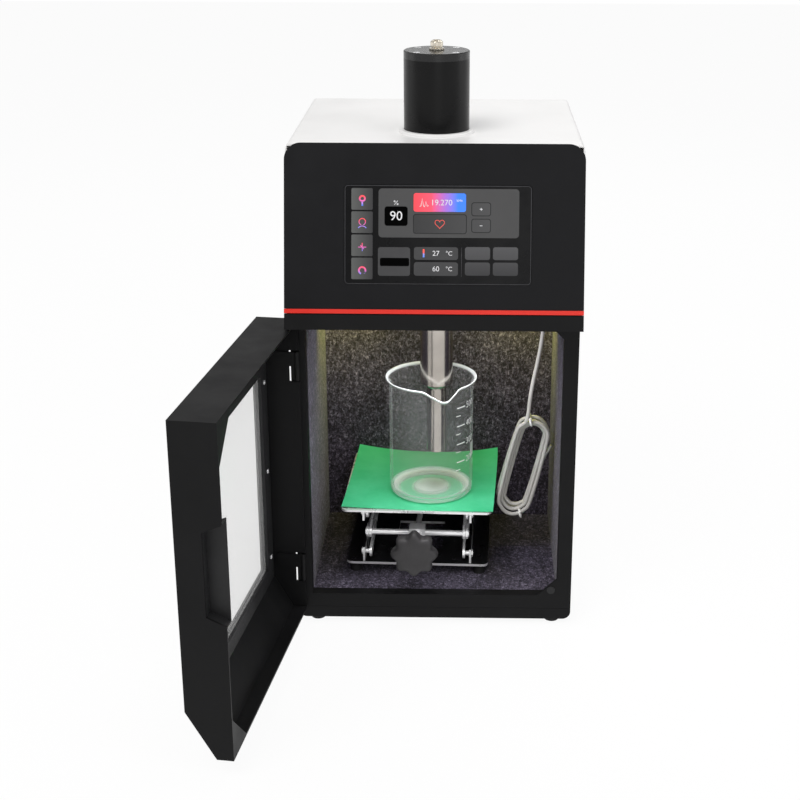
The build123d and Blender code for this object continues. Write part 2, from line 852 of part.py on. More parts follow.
# Seat ring in the top that the transducer drops into
ring_inner = housing_radius + seam
ring_outer = housing_radius + ring_wall
seat_top = housing_low - seat_gap
with BuildPart() as transducer_ring:
    with BuildSketch(Plane.XZ.offset(-axis_y)):
        with BuildLine():
            Polyline(
                (ring_inner, wrap_top + ring_stand),
                (ring_radius, wrap_top + ring_stand),
                (ring_radius, wrap_top),
                (ring_outer, wrap_top),
                (ring_outer, seat_top - seat_thick),
                (seat_bore, seat_top - seat_thick),
                (seat_bore, seat_top),
                (ring_inner, seat_top),
                close=True,
            )
        make_face()
    revolve(axis=Axis((0, axis_y, 0), (0, 0, 1)))
    chamfer(transducer_ring.faces().sort_by(Axis.Z)[-1].outer_wire().edges(), ring_stand / 3)
transducer_ring.part.label = "transducer_ring"
export_step(transducer_ring.part, "parts/transducer_ring.step")

# Transducer: black housing, cap, screws and connector
with BuildPart() as transducer_housing:
    with BuildSketch(Plane.XY.offset(housing_low)):
        with Locations((0, axis_y)):
            Circle(housing_radius)
            Circle(housing_radius - housing_wall, mode=Mode.SUBTRACT)
    extrude(amount=housing_high - housing_low)
transducer_housing.part.label = "transducer_housing"
export_step(transducer_housing.part, "parts/transducer_housing.step")

cap_top = housing_high + cap_thick
cap_screw_ring = housing_radius - 2.4 * housing_wall
with BuildPart() as transducer_cap:
    with BuildSketch(Plane.XY.offset(housing_high)):
        with Locations((0, axis_y)):
            Circle(housing_radius)
    extrude(amount=cap_thick)
    chamfer(transducer_cap.faces().sort_by(Axis.Z)[-1].edges(), cap_edge)
    with BuildSketch(Plane.XY.offset(cap_top)):
        with Locations((0, axis_y)):
            with PolarLocations(cap_screw_ring, 4, 45):
                Circle(screw_head + running)
    extrude(amount=-screw_head_thick, mode=Mode.SUBTRACT)
transducer_cap.part.label = "transducer_cap"
export_step(transducer_cap.part, "parts/transducer_cap.step")

with BuildPart() as cap_screws:
    with BuildSketch(Plane.XY.offset(cap_top)):
        with Locations((0, axis_y)):
            with PolarLocations(cap_screw_ring, 4, 45):
                Circle(screw_head)
                RegularPolygon(screw_recess, 6, mode=Mode.SUBTRACT)
    extrude(amount=-screw_head_thick)
cap_screws.part.label = "cap_screws"
export_step(cap_screws.part, "parts/cap_screws.step")

with BuildPart() as cap_connector:
    with BuildSketch(Plane.XY.offset(cap_top)):
        with Locations((0, axis_y)):
            RegularPolygon(connector_flange, 6)
    extrude(amount=connector_flange_height)
    with BuildSketch(Plane.XY.offset(cap_top + connector_flange_height)):
        with Locations((0, axis_y)):
            Circle(connector_radius)
            Circle(connector_bore, mode=Mode.SUBTRACT)
    extrude(amount=connector_height - connector_flange_height)
cap_connector.part.label = "cap_connector"
export_step(cap_connector.part, "parts/cap_connector.step")

# Horn: flange in the housing, straight barrel, step down to the slim end
flange_low = housing_low
flange_high = flange_low + flange_thick
horn_axis = Axis((0, axis_y, 0), (0, 0, 1))
with BuildPart() as horn:
    with BuildSketch(Plane.XZ.offset(-axis_y)):
        with BuildLine():
            Polyline(
                (0, flange_high),
                (flange_radius, flange_high),
                (flange_radius, flange_low + seam),
                (horn_radius, flange_low + seam),
                (horn_radius, horn_step + horn_step_fillet),
            )
            RadiusArc(
                (horn_radius, horn_step + horn_step_fillet),
                (horn_slim, horn_step),
                -horn_step_round,
            )
            Polyline((horn_slim, horn_step), (horn_slim, tip_joint), (0, tip_joint), (0, flange_high))
        make_face()
    revolve(axis=horn_axis)
    with BuildSketch(Plane.XY.offset(tip_joint)):
        with Locations((0, axis_y)):
            Circle(tip_stud + running)
    extrude(amount=tip_stud_length + clear, mode=Mode.SUBTRACT)
horn.part.label = "horn"
export_step(horn.part, "parts/horn.step")

with BuildPart() as horn_tip:
    with BuildSketch(Plane.XY.offset(tip_end)):
        with Locations((0, axis_y)):
            Circle(horn_slim)
    extrude(amount=tip_joint - seam - tip_end)
    chamfer(horn_tip.edges().group_by(Axis.Z)[0], tip_edge)
    with BuildSketch(Plane.XY.offset(tip_joint - seam)):
        with Locations((0, axis_y)):
            Circle(tip_stud)
    extrude(amount=tip_stud_length)
horn_tip.part.label = "horn_tip"
export_step(horn_tip.part, "parts/horn_tip.step")

# Driver on top of the horn: ceramic rings clamped under the back mass
ring_pitch = ceramic_thick + electrode_gap
with BuildPart() as piezo_rings:
    for level in range(ring_count):
        with BuildSketch(Plane.XY.offset(flange_high + electrode_gap + level * ring_pitch)):
            with Locations((0, axis_y)):
                Circle(stack_radius)
                Circle(stack_bore, mode=Mode.SUBTRACT)
        extrude(amount=ceramic_thick)
piezo_rings.part.label = "piezo_rings"
export_step(piezo_rings.part, "parts/piezo_rings.step")

back_mass_low = flange_high + electrode_gap + ring_count * ring_pitch
with BuildPart() as back_mass:
    with BuildSketch(Plane.XY.offset(back_mass_low)):
        with Locations((0, axis_y)):
            Circle(stack_radius)
    extrude(amount=back_mass_height)
    chamfer(back_mass.faces().sort_by(Axis.Z)[-1].edges(), back_mass_edge)
    with BuildSketch(Plane.XY.offset(back_mass_low)):
        with Locations((0, axis_y)):
            Circle(stack_bolt)
    extrude(amount=-(back_mass_low - flange_high))
back_mass.part.label = "back_mass"
export_step(back_mass.part, "parts/back_mass.step")

# Door, drawn where it stands open: along runs from the hinge edge to the free edge, out runs
# from the open rim to the front skin
open_angle = radians(door_open)
along = Vector(cos(open_angle), -sin(open_angle), 0)
out = Vector(-sin(open_angle), -cos(open_angle), 0)
pin_x = pin_inset + door_margin - half_case
pin_y = -door_gap - pin_ahead
rim_corner = Vector(pin_x, pin_y, 0) - along * pin_inset - out * pin_ahead


def door_face(depth):
    """Plane across the door at a depth from its rim, drawn as (along, Z)."""
    return Plane(origin=rim_corner + out * depth, x_dir=along, z_dir=out)


def door_section(reach):
    """Upright plane across the door's thickness, drawn as (out, Z); extrude by a minus goes along."""
    return Plane(origin=rim_corner + along * reach, x_dir=out, z_dir=along * -1)


def door_rectangle(left, right, low, high, mode=Mode.ADD):
    with Locations(((left + right) / 2, (low + high) / 2)):
        Rectangle(right - left, high - low, mode=mode)


def door_profile(inset):
    """Side outline of the door, moved inwards all round by inset."""
    Polygon(
        (0, door_low),
        (door_depth - door_bevel_depth, door_low),
        (door_depth, door_low + door_bevel_height),
        (door_depth, door_high),
        (0, door_high),
        align=None,
    )
    if inset:
        offset(amount=-inset, kind=Kind.INTERSECTION)


window_right = door_width - window_free_side
pocket_outline = (
    (-clear, pocket_low - clear * pocket_slope / pocket_deep),
    (pocket_deep, pocket_low + pocket_slope),
    (pocket_deep, pocket_high - pocket_slope),
    (-clear, pocket_high + clear * pocket_slope / pocket_deep),
)
with BuildPart() as door_shell:
    with BuildSketch(door_section(0)):
        door_profile(0)
    extrude(amount=-door_width)
    with BuildSketch(door_section(door_sheet)):
        door_profile(door_sheet)
    extrude(amount=-(door_width - 2 * door_sheet), mode=Mode.SUBTRACT)
    with BuildSketch(door_face(-clear)):
        door_rectangle(
            door_sheet, door_width - door_sheet, door_low + door_sheet, door_high - door_sheet
        )
    extrude(amount=clear + door_sheet, mode=Mode.SUBTRACT)
    with BuildSketch(door_face(door_depth + clear)):
        door_rectangle(window_side, window_right, window_low, window_high)
    extrude(amount=-(door_sheet + 2 * clear), mode=Mode.SUBTRACT)
    with BuildSketch(door_section(door_width - door_sheet - clear)):
        with BuildLine():
            Polyline(*pocket_outline, close=True)
        make_face()
    extrude(amount=-(door_sheet + 2 * clear), mode=Mode.SUBTRACT)
    for height in hinge_heights:
        with BuildSketch(door_face(-clear)):
            with Locations(((notch_across - clear) / 2, height)):
                Rectangle(notch_across + clear, 2 * (knuckle_height + notch_play))
        extrude(amount=notch_deep + clear, mode=Mode.SUBTRACT)
door_shell.part.label = "door_shell"
export_step(door_shell.part, "parts/door_shell.step")

# Finger pocket let into the free edge, open outwards and towards the rim
with BuildPart() as handle_pocket:
    with BuildSketch(door_section(door_width - pocket_in)):
        with BuildLine():
            Polyline(
                (0, pocket_low - pocket_wall),
                (pocket_deep + pocket_wall, pocket_low + pocket_slope - pocket_wall),
                (pocket_deep + pocket_wall, pocket_high - pocket_slope + pocket_wall),
                (0, pocket_high + pocket_wall),
                close=True,
            )
        make_face()
    extrude(amount=-(pocket_in - door_sheet - seam / 4))
    with BuildSketch(door_section(door_width - pocket_in + pocket_wall)):
        with BuildLine():
            Polyline(*pocket_outline, close=True)
        make_face()
    extrude(amount=-pocket_in, mode=Mode.SUBTRACT)
handle_pocket.part.label = "handle_pocket"
export_step(handle_pocket.part, "parts/handle_pocket.step")

# Window: clear pane on the skin, held by a screwed frame that follows the bevel below
skin_inside = door_depth - door_sheet
retainer_left = door_sheet + retainer_gap
retainer_right = door_width - retainer_left - pocket_in
retainer_low = window_low - retainer_sole
retainer_high = window_high + retainer_over
retainer_bevel = retainer_low + door_bevel_height / door_bevel_depth * retainer_thick
pane_left = window_side - pane_lap
pane_right = window_right + pane_lap
pane_low = window_low - pane_lap / 2
pane_high = window_high + pane_lap
with BuildPart() as window_pane:
    with BuildSketch(door_face(skin_inside)):
        door_rectangle(pane_left, pane_right, pane_low + pane_lap / 4, pane_high)
    extrude(amount=-pane_thick)
window_pane.part.label = "window_pane"
export_step(window_pane.part, "parts/window_pane.step")

retainer_screw_places = (
    [
        (edge, window_low + (window_high - window_low) * share)
        for edge in (window_side - retainer_screw_inset, window_right + retainer_screw_inset)
        for share in (0.05, 0.5, 0.95)
    ]
    + [
        (window_side + (window_right - window_side) * share, window_high + retainer_screw_inset)
        for share in (0.02, 0.5, 0.98)
    ]
)
with BuildPart() as window_retainer:
    with BuildSketch(door_section(retainer_left)):
        with BuildLine():
            Polyline(
                (skin_inside - retainer_thick, retainer_low),
                (skin_inside, retainer_bevel),
                (skin_inside, retainer_high),
                (skin_inside - retainer_thick, retainer_high),
                close=True,
            )
        make_face()
    extrude(amount=-(retainer_right - retainer_left))
    with BuildSketch(door_face(skin_inside + clear)):
        door_rectangle(window_side, window_right, window_low, window_high)
    extrude(amount=-(retainer_thick + 2 * clear), mode=Mode.SUBTRACT)
    with BuildSketch(door_face(skin_inside + clear)):
        door_rectangle(
            pane_left - pane_gap,
            pane_right + pane_gap,
            pane_low + pane_lap / 4 - pane_gap,
            pane_high + pane_gap,
        )
    extrude(amount=-(pane_thick + pane_gap + clear), mode=Mode.SUBTRACT)
window_retainer.part.label = "window_retainer"
export_step(window_retainer.part, "parts/window_retainer.step")

with BuildPart() as retainer_screws:
    with BuildSketch(door_face(skin_inside - retainer_thick)):
        with Locations(*retainer_screw_places):
            Circle(retainer_screw_radius)
    extrude(amount=-screw_head_thick / 2)
    chamfer(
        retainer_screws.faces().filter_by(Plane(origin=(0, 0, 0), z_dir=out)).sort_by(
            Axis((0, 0, 0), out)
        )[: len(retainer_screw_places)].edges(),
        screw_head_thick / 5,
    )
retainer_screws.part.label = "retainer_screws"
export_step(retainer_screws.part, "parts/retainer_screws.step")

# Steel corner plates at the free side, which the catch magnets hold
with BuildPart() as door_gussets:
    with BuildSketch(door_face(0)):
        for height, way in ((door_low + door_sheet, 1), (door_high - door_sheet, -1)):
            corner = door_width - door_sheet
            with BuildLine():
                Polyline(
                    (corner, height),
                    (corner - corner_plate, height),
                    (corner, height + way * corner_plate),
                    close=True,
                )
            make_face()
    extrude(amount=door_sheet)
door_gussets.part.label = "door_gussets"
export_step(door_gussets.part, "parts/door_gussets.step")

# Lift-off hinges: the cabinet's halves carry the pins, the door's halves drop over them
with BuildPart() as cabinet_hinges:
    for height in hinge_heights:
        with BuildSketch(Plane.XY.offset(height - knuckle_height)):
            with Locations((pin_x, pin_y)):
                Circle(knuckle_radius)
            with Locations(((pin_x - half_case + seam + hinge_lap) / 2, pin_y / 2)):
                Rectangle(pin_x + half_case - seam + hinge_lap, -pin_y)
        extrude(amount=knuckle_height)
        with BuildSketch(Plane.XY.offset(height)):
            with Locations((pin_x, pin_y)):
                Circle(pin_radius)
        extrude(amount=knuckle_height - clear)
cabinet_hinges.part.label = "cabinet_hinges"
export_step(cabinet_hinges.part, "parts/cabinet_hinges.step")

with BuildPart() as door_hinges:
    for height in hinge_heights:
        knuckle_plane = Plane(
            origin=Vector(pin_x, pin_y, height + seam), x_dir=out, z_dir=(0, 0, 1)
        )
        with BuildSketch(knuckle_plane):
            Circle(knuckle_radius)
            with Locations(
                ((notch_deep + hinge_leaf - pin_ahead) / 2, door_sheet + sheet / 2 - pin_inset)
            ):
                Rectangle(notch_deep + hinge_leaf - pin_ahead, sheet)
            Circle(pin_radius + running, mode=Mode.SUBTRACT)
        extrude(amount=knuckle_height)
door_hinges.part.label = "door_hinges"
export_step(door_hinges.part, "parts/door_hinges.step")

# Scissor jack. A pair of arms runs from the base's rear pivots up to the front rod, its partner
# from the base's front slots up to the rear rod, and a second storey repeats them up to the top.
# A screw draws the two rods together, which lifts the top straight up.
turn = radians(jack_turn)
across = Vector(cos(turn), sin(turn), 0)
deep = Vector(-sin(turn), cos(turn), 0)
jack_middle = Vector(jack_x, jack_y, 0)
arm_angle = asin((top_pivot - base_pivot) / 2 / arm_length)
half_span = arm_length * cos(arm_angle) / 2
rod_height = base_pivot + arm_length * sin(arm_angle)
cross_low = (base_pivot + rod_height) / 2
cross_high = (rod_height + top_pivot) / 2
inner_face = arm_inner
outer_face = arm_inner + arm_thick + arm_gap
ear_face = outer_face + arm_thick + ear_gap
ear_outside = ear_face + ear_thick
pin_end = ear_outside + seam + pivot_head_thick


def jack_level(height):
    """Level plane drawn as (across, deep) from the jack's middle."""
    return Plane(origin=jack_middle + Vector(0, 0, height), x_dir=across, z_dir=(0, 0, 1))


def jack_side(reach):
    """Upright plane drawn as (deep, Z), a reach to the right of the middle; extrude goes right."""
    return Plane(origin=jack_middle + across * reach, x_dir=deep, z_dir=across)


def jack_front(reach):
    """Upright plane drawn as (across, Z), a reach behind the middle; extrude goes to the rear."""
    return Plane(origin=jack_middle + deep * reach, x_dir=across * -1, z_dir=deep)


def each_side(inner, thick):
    """The two planes where a piece of this thickness starts, right and left."""
    return (jack_side(inner), jack_side(-inner - thick))


def arm_shape(low, high):
    """Outline of one arm between two pivots, each given as (deep, Z)."""
    middle = ((low[0] + high[0]) / 2, (low[1] + high[1]) / 2)
    slope = degrees(atan2(high[1] - low[1], high[0] - low[0]))
    with Locations(middle):
        SlotCenterToCenter(arm_length, arm_width, rotation=slope)


def pivot_holes(places, radius):
    with Locations(*places):
        Circle(radius, mode=Mode.SUBTRACT)


def riveted_pins(place, start, end):
    """Pins on both sides from start to end, with a head beyond the end."""
    for side_plane in each_side(start, end - start):
        with BuildSketch(side_plane) as shank:
            with Locations(place):
                Circle(pivot_radius)
        extrude(shank.sketch, amount=end - start)
    for side_plane in each_side(end, pivot_head_thick):
        with BuildSketch(side_plane) as head:
            with Locations(place):
                Circle(pivot_head)
        extrude(head.sketch, amount=pivot_head_thick)


rear_base = (half_span, base_pivot)
front_base = (-half_span, base_pivot)
front_rod = (-half_span, rod_height)
rear_rod = (half_span, rod_height)
front_top = (-half_span, top_pivot)
rear_top = (half_span, top_pivot)
low_cross = (0, cross_low)
high_cross = (0, cross_high)
rod_fit = rod_radius + running

with BuildPart() as jack_base:
    with BuildSketch(jack_level(opening_low + jack_foot_height)):
        with Locations((0, (base_rear - base_front) / 2)):
            RectangleRounded(base_width, base_front + base_rear, top_corner)
            Rectangle(base_width / 3, base_front, mode=Mode.SUBTRACT)
    extrude(amount=base_plate)
    plate_top = opening_low + jack_foot_height + base_plate
    for side_plane in each_side(ear_face, ear_thick):
        with BuildSketch(side_plane):
            with Locations((0, (plate_top + base_pivot + ear_edge) / 2)):
                Rectangle(2 * (half_span + ear_edge), base_pivot + ear_edge - plate_top)
            pivot_holes([rear_base], pivot_radius + running)
            with Locations((-slot_middle, base_pivot)):
                SlotCenterToCenter(
                    slot_run, 2 * (pivot_radius + slot_play), mode=Mode.SUBTRACT
                )
        extrude(amount=ear_thick)
jack_base.part.label = "jack_base"
export_step(jack_base.part, "parts/jack_base.step")

with BuildPart() as jack_feet:
    with BuildSketch(jack_level(opening_low)):
        with Locations((0, (base_rear - base_front) / 2)):
            with GridLocations(
                base_width - 3 * jack_foot_radius,
                base_front + base_rear - 3 * jack_foot_radius,
                2,
                2,
            ):
                Circle(jack_foot_radius)
    extrude(amount=jack_foot_height)
jack_feet.part.label = "jack_feet"
export_step(jack_feet.part, "parts/jack_feet.step")

# Lower storey: the outer pair hinges on the base's rear pivots and carries the crossing rivet
with BuildPart() as lower_arms_outer:
    for side_plane in each_side(outer_face, arm_thick):
        with BuildSketch(side_plane):
            arm_shape(front_rod, rear_base)
            pivot_holes([front_rod], rod_fit)
        extrude(amount=arm_thick)
    riveted_pins(rear_base, outer_face, ear_outside + seam)
    for side_plane in each_side(inner_face - seam, arm_thick + arm_gap + seam):
        with BuildSketch(side_plane):
            with Locations(low_cross):
                Circle(pivot_radius)
        extrude(amount=arm_thick + arm_gap + seam)
lower_arms_outer.part.label = "lower_arms_outer"
export_step(lower_arms_outer.part, "parts/lower_arms_outer.step")

with BuildPart() as lower_arms_inner:
    for side_plane in each_side(inner_face, arm_thick):
        with BuildSketch(side_plane):
            arm_shape(front_base, rear_rod)
            pivot_holes([rear_rod], rod_fit)
            pivot_holes([low_cross], pivot_radius + running)
        extrude(amount=arm_thick)
    riveted_pins(front_base, inner_face, ear_outside + seam)
lower_arms_inner.part.label = "lower_arms_inner"
export_step(lower_arms_inner.part, "parts/lower_arms_inner.step")

# Upper storey: the inner pair hinges on the front rod and carries the top's rear pivots
with BuildPart() as upper_arms_inner:
    for side_plane in each_side(inner_face, arm_thick):
        with BuildSketch(side_plane):
            arm_shape(front_rod, rear_top)
            pivot_holes([front_rod], rod_fit)
            pivot_holes([high_cross], pivot_radius + slot_play)
        extrude(amount=arm_thick)
    riveted_pins(rear_top, inner_face, ear_outside + seam)
upper_arms_inner.part.label = "upper_arms_inner"
export_step(upper_arms_inner.part, "parts/upper_arms_inner.step")

with BuildPart() as upper_arms_outer:
    for side_plane in each_side(outer_face, arm_thick):
        with BuildSketch(side_plane):
            arm_shape(front_top, rear_rod)
            pivot_holes([rear_rod], rod_fit)
        extrude(amount=arm_thick)
    riveted_pins(front_top, outer_face, ear_outside + seam)
    for side_plane in each_side(inner_face - seam, arm_thick + arm_gap + seam):
        with BuildSketch(side_plane):
            with Locations(high_cross):
                Circle(pivot_radius)
        extrude(amount=arm_thick + arm_gap + seam)
upper_arms_outer.part.label = "upper_arms_outer"
export_step(upper_arms_outer.part, "parts/upper_arms_outer.step")

with BuildPart() as jack_platform:
    with BuildSketch(jack_level(top_surface - top_plate)):
        RectangleRounded(top_width, top_depth, top_corner)
    extrude(amount=top_plate)
    for side_plane in each_side(ear_face, ear_thick):
        with BuildSketch(side_plane):
            with Locations((0, (top_surface - top_plate + top_pivot - ear_edge) / 2)):
                Rectangle(
                    2 * (half_span + ear_edge), top_surface - top_plate - top_pivot + ear_edge
                )
            pivot_holes([rear_top], pivot_radius + running)
            with Locations((-slot_middle, top_pivot)):
                SlotCenterToCenter(
                    slot_run, 2 * (pivot_radius + slot_play), mode=Mode.SUBTRACT
                )
        extrude(amount=ear_thick)
jack_platform.part.label = "jack_platform"
export_step(jack_platform.part, "parts/jack_platform.step")

# Rods across the knuckles: the front one holds the screw, the rear one is its nut
rod_half = outer_face + arm_thick + seam


def cross_rod(place):
    """Rod across the jack with a head at each end and a bored block for the screw in its middle."""
    with BuildSketch(jack_side(-rod_half)) as rod:
        with Locations(place):
            Circle(rod_radius)
    extrude(rod.sketch, amount=2 * rod_half)
    for end_plane in each_side(rod_half, pivot_head_thick / 2):
        with BuildSketch(end_plane) as head:
            with Locations(place):
                Circle(pivot_head)
        extrude(head.sketch, amount=pivot_head_thick / 2)
    with BuildSketch(jack_side(-block_width / 2)) as block:
        with Locations(place):
            Rectangle(2 * block_radius, 2 * block_radius)
    extrude(block.sketch, amount=block_width)
    with BuildSketch(jack_front(place[0] - 2 * block_radius)) as bore:
        with Locations((0, place[1])):
            Circle(screw_radius + running)
    extrude(bore.sketch, amount=4 * block_radius, mode=Mode.SUBTRACT)


with BuildPart() as front_cross_rod:
    cross_rod(front_rod)
front_cross_rod.part.label = "front_cross_rod"
export_step(front_cross_rod.part, "parts/front_cross_rod.step")

with BuildPart() as rear_cross_rod:
    cross_rod(rear_rod)
rear_cross_rod.part.label = "rear_cross_rod"
export_step(rear_cross_rod.part, "parts/rear_cross_rod.step")

knob_front = -half_span - knob_reach - knob_thick
collar_start = block_radius + collar_gap
with BuildPart() as lead_screw:
    with BuildSketch(jack_front(knob_front + knob_thick)):
        with Locations((0, rod_height)):
            Circle(screw_radius)
    extrude(amount=2 * half_span + knob_reach + block_radius + screw_tail)
    for start in (-half_span - collar_start - collar_thick, -half_span + collar_start):
        with BuildSketch(jack_front(start)):
            with Locations((0, rod_height)):
                Circle(collar_radius)
        extrude(amount=collar_thick)
lead_screw.part.label = "lead_screw"
export_step(lead_screw.part, "parts/lead_screw.step")

with BuildPart() as jack_knob:
    with BuildSketch(jack_front(knob_front)):
        with Locations((0, rod_height)):
            Circle(knob_radius)
            with PolarLocations(knob_radius - lobe_in, lobe_count):
                Circle(lobe_radius)
    extrude(amount=knob_thick)
    fillet(jack_knob.faces().sort_by(Axis.Y)[0].edges(), knob_round)
    with BuildSketch(jack_front(knob_front + knob_thick)):
        with Locations((0, rod_height)):
            Circle(knob_neck_radius)
            Circle(screw_radius + running, mode=Mode.SUBTRACT)
    extrude(amount=knob_neck)
jack_knob.part.label = "jack_knob"
export_step(jack_knob.part, "parts/jack_knob.step")

# Thin silicone mat on the jack's top
with BuildPart() as jack_mat:
    with BuildSketch(jack_level(top_surface)):
        Rectangle(mat_width, mat_depth)
    extrude(amount=mat_thick)
jack_mat.part.label = "jack_mat"
export_step(jack_mat.part, "parts/jack_mat.step")

# Glass beaker
glass_low = top_surface + mat_thick
glass_high = glass_low + beaker_height
beaker_inner = beaker_radius - beaker_wall
with BuildPart() as beaker:
    with BuildSketch(Plane.XZ.offset(-beaker_y)) as beaker_section:
        with BuildLine():
            Polyline(
                (beaker_x, glass_low),
                (beaker_x + beaker_radius, glass_low),
                (beaker_x + beaker_radius, glass_high - 2 * beaker_flare),
                (beaker_x + beaker_radius + beaker_flare, glass_high),
                (beaker_x + beaker_inner + beaker_flare, glass_high),
                (beaker_x + beaker_inner, glass_high - 2 * beaker_flare),
                (beaker_x + beaker_inner, glass_low + beaker_base),
                (beaker_x, glass_low + beaker_base),
                close=True,
            )
        make_face()
        fillet(
            beaker_section.vertices().group_by(Axis.Y)[0].sort_by(Axis.X)[-1], beaker_fillet
        )
    revolve(axis=Axis((beaker_x, beaker_y, 0), (0, 0, 1)))
beaker.part.label = "beaker"
export_step(beaker.part, "parts/beaker.step")

# Sensor lead: gland in the ceiling, free run, hank and the steel rod at its end
with BuildPart() as sensor_gland:
    with BuildSketch(Plane.XY.offset(chamber_top)):
        with Locations((gland_x, gland_y)):
            RegularPolygon(gland_nut, 6)
    extrude(amount=-gland_reach / 2)
    with BuildSketch(Plane.XY.offset(chamber_top - gland_reach / 2)):
        with Locations((gland_x, gland_y)):
            Circle(gland_body)
    extrude(amount=-gland_reach / 2, taper=gland_taper)
    with BuildSketch(Plane.XY.offset(chamber_top)):
        with Locations((gland_x, gland_y)):
            Circle(gland_body)
    extrude(amount=lining + 3 * sheet)
sensor_gland.part.label = "sensor_gland"
export_step(sensor_gland.part, "parts/sensor_gland.step")

# Points of the lead's free run, from the gland down to the hank
lead_points = [
    (107.0, 95.0, 306.0),
    (106.4, 95.0, 276.0),
    (101.6, 94.2, 245.0),
    (95.2, 93.0, 214.0),
    (89.0, 91.5, 183.2),
]


def smooth_radii(points):
    """Largest tidy corner radii of a route: 0.45 of the shorter run over the half-turn's tangent."""
    radii = []
    for before, point, after in zip(points, points[1:], points[2:]):
        first = Vector(*point) - Vector(*before)
        second = Vector(*after) - Vector(*point)
        half_turn = radians(first.get_angle(second)) / 2
        radii.append(0.45 * min(first.length, second.length) / tan(half_turn))
    return radii


lead_radii = smooth_radii(lead_points)
print("lead radii", [round(radius, 1) for radius in lead_radii])
with BuildPart() as sensor_cord:
    with BuildLine() as lead_route:
        FilletPolyline(*lead_points, radius=lead_radii)
    with BuildSketch(Plane(origin=lead_route.line @ 0, z_dir=lead_route.line % 0)):
        Circle(lead_radius)
    sweep()
print("lead length", round(lead_route.wire().length, 1))
sensor_cord.part.label = "sensor_cord"
export_step(sensor_cord.part, "parts/sensor_cord.step")

with BuildPart() as sensor_coil:
    with BuildSketch(facing(hank_y - hank_thick / 2)):
        with Locations((hank_x, (hank_low + hank_high) / 2)):
            SlotOverall(hank_high - hank_low, hank_width, rotation=90 - hank_lean)
            SlotOverall(
                hank_high - hank_low - 2 * hank_band,
                hank_width - 2 * hank_band,
                rotation=90 - hank_lean,
                mode=Mode.SUBTRACT,
            )
    extrude(amount=-hank_thick)
sensor_coil.part.label = "sensor_coil"
export_step(sensor_coil.part, "parts/sensor_coil.step")

rod_start = Vector(*rod_from)
rod_run = Vector(*rod_to) - rod_start
with BuildPart() as sensor_rod:
    with BuildSketch(Plane(origin=rod_start, z_dir=rod_run)):
        Circle(rod_tip_radius)
    extrude(amount=rod_run.length)
    fillet(sensor_rod.edges().group_by(Axis.Z)[-1], rod_tip_radius / 2)
sensor_rod.part.label = "sensor_rod"
export_step(sensor_rod.part, "parts/sensor_rod.step")
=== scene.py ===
import math

import bpy
from mathutils import Matrix, Vector


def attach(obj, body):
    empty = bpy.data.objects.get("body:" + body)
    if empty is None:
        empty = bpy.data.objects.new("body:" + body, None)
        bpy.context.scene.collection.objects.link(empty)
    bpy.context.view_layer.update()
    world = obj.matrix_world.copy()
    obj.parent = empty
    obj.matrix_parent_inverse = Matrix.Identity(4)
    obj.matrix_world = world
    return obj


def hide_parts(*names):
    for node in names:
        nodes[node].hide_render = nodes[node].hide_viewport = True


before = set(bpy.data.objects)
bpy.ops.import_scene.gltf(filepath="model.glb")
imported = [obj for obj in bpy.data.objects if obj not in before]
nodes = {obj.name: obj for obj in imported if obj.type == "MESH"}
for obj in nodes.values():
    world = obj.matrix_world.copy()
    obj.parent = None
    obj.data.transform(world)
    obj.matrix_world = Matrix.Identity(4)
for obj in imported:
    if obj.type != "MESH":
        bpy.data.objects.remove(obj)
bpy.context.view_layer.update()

mm = 0.001
tiny = 0.000001  # metres: points nearer to each other than this are merged


# camera
cameraFacts = {
    "place": (30.182, -1289.324, 735.047),
    "right": (0.99987007, 0.0158291, 0.00304702),
    "up": (-0.0081093, 0.33057014, 0.94374659),
    "forward": (-0.01393141, 0.94364867, -0.33065556),
    "lens": 65.74,
    "film": 36.0,
    "shift": (-0.05822, -0.05632),
    "clip": (0.05, 30.0),  # metres
}


def addObject(name, data):
    piece = bpy.data.objects.new(name, data)
    bpy.context.scene.collection.objects.link(piece)
    return piece


def setCamera(facts):
    data = bpy.data.cameras.new("photoCamera")
    data.lens = facts["lens"]
    data.sensor_width = facts["film"]
    data.shift_x, data.shift_y = facts["shift"]
    data.clip_start, data.clip_end = facts["clip"]
    camera = addObject("photoCamera", data)
    right, up = Vector(facts["right"]), Vector(facts["up"])
    back = -Vector(facts["forward"])
    turn = Matrix((right, up, back)).transposed().to_4x4()
    camera.matrix_world = Matrix.Translation(Vector(facts["place"]) * mm) @ turn
    bpy.context.scene.camera = camera


setCamera(cameraFacts)
print("camera set")


# small tools for modelling
def pickNone():
    if bpy.context.object and bpy.context.object.mode != "OBJECT":
        bpy.ops.object.mode_set(mode="OBJECT")
    bpy.ops.object.select_all(action="DESELECT")


def activate(piece):
    pickNone()
    piece.select_set(True)
    bpy.context.view_layer.objects.active = piece


def named(name):
    piece = bpy.context.object
    piece.name = name
    piece.data.name = name
    return piece


def editPoints(piece, test=None):  # opens edit mode with the points that pass the test selected
    activate(piece)
    mesh = piece.data
    for group in (mesh.vertices, mesh.edges, mesh.polygons):
        for item in group:
            item.select = False
    bpy.context.tool_settings.mesh_select_mode = (True, False, False)
    for point in mesh.vertices:
        point.select = test is None or bool(test(point.co))
    bpy.ops.object.mode_set(mode="EDIT")


def leaveMesh():
    bpy.ops.object.mode_set(mode="OBJECT")


def placeBy(piece, matrix):  # puts the piece's place into its mesh, so its object stays at the origin
    activate(piece)
    piece.matrix_world = matrix @ piece.matrix_world
    bpy.ops.object.transform_apply(location=True, rotation=True, scale=True)


def applyModifiers(piece):
    activate(piece)
    for modifier in list(piece.modifiers):
        bpy.ops.object.modifier_apply(modifier=modifier.name)


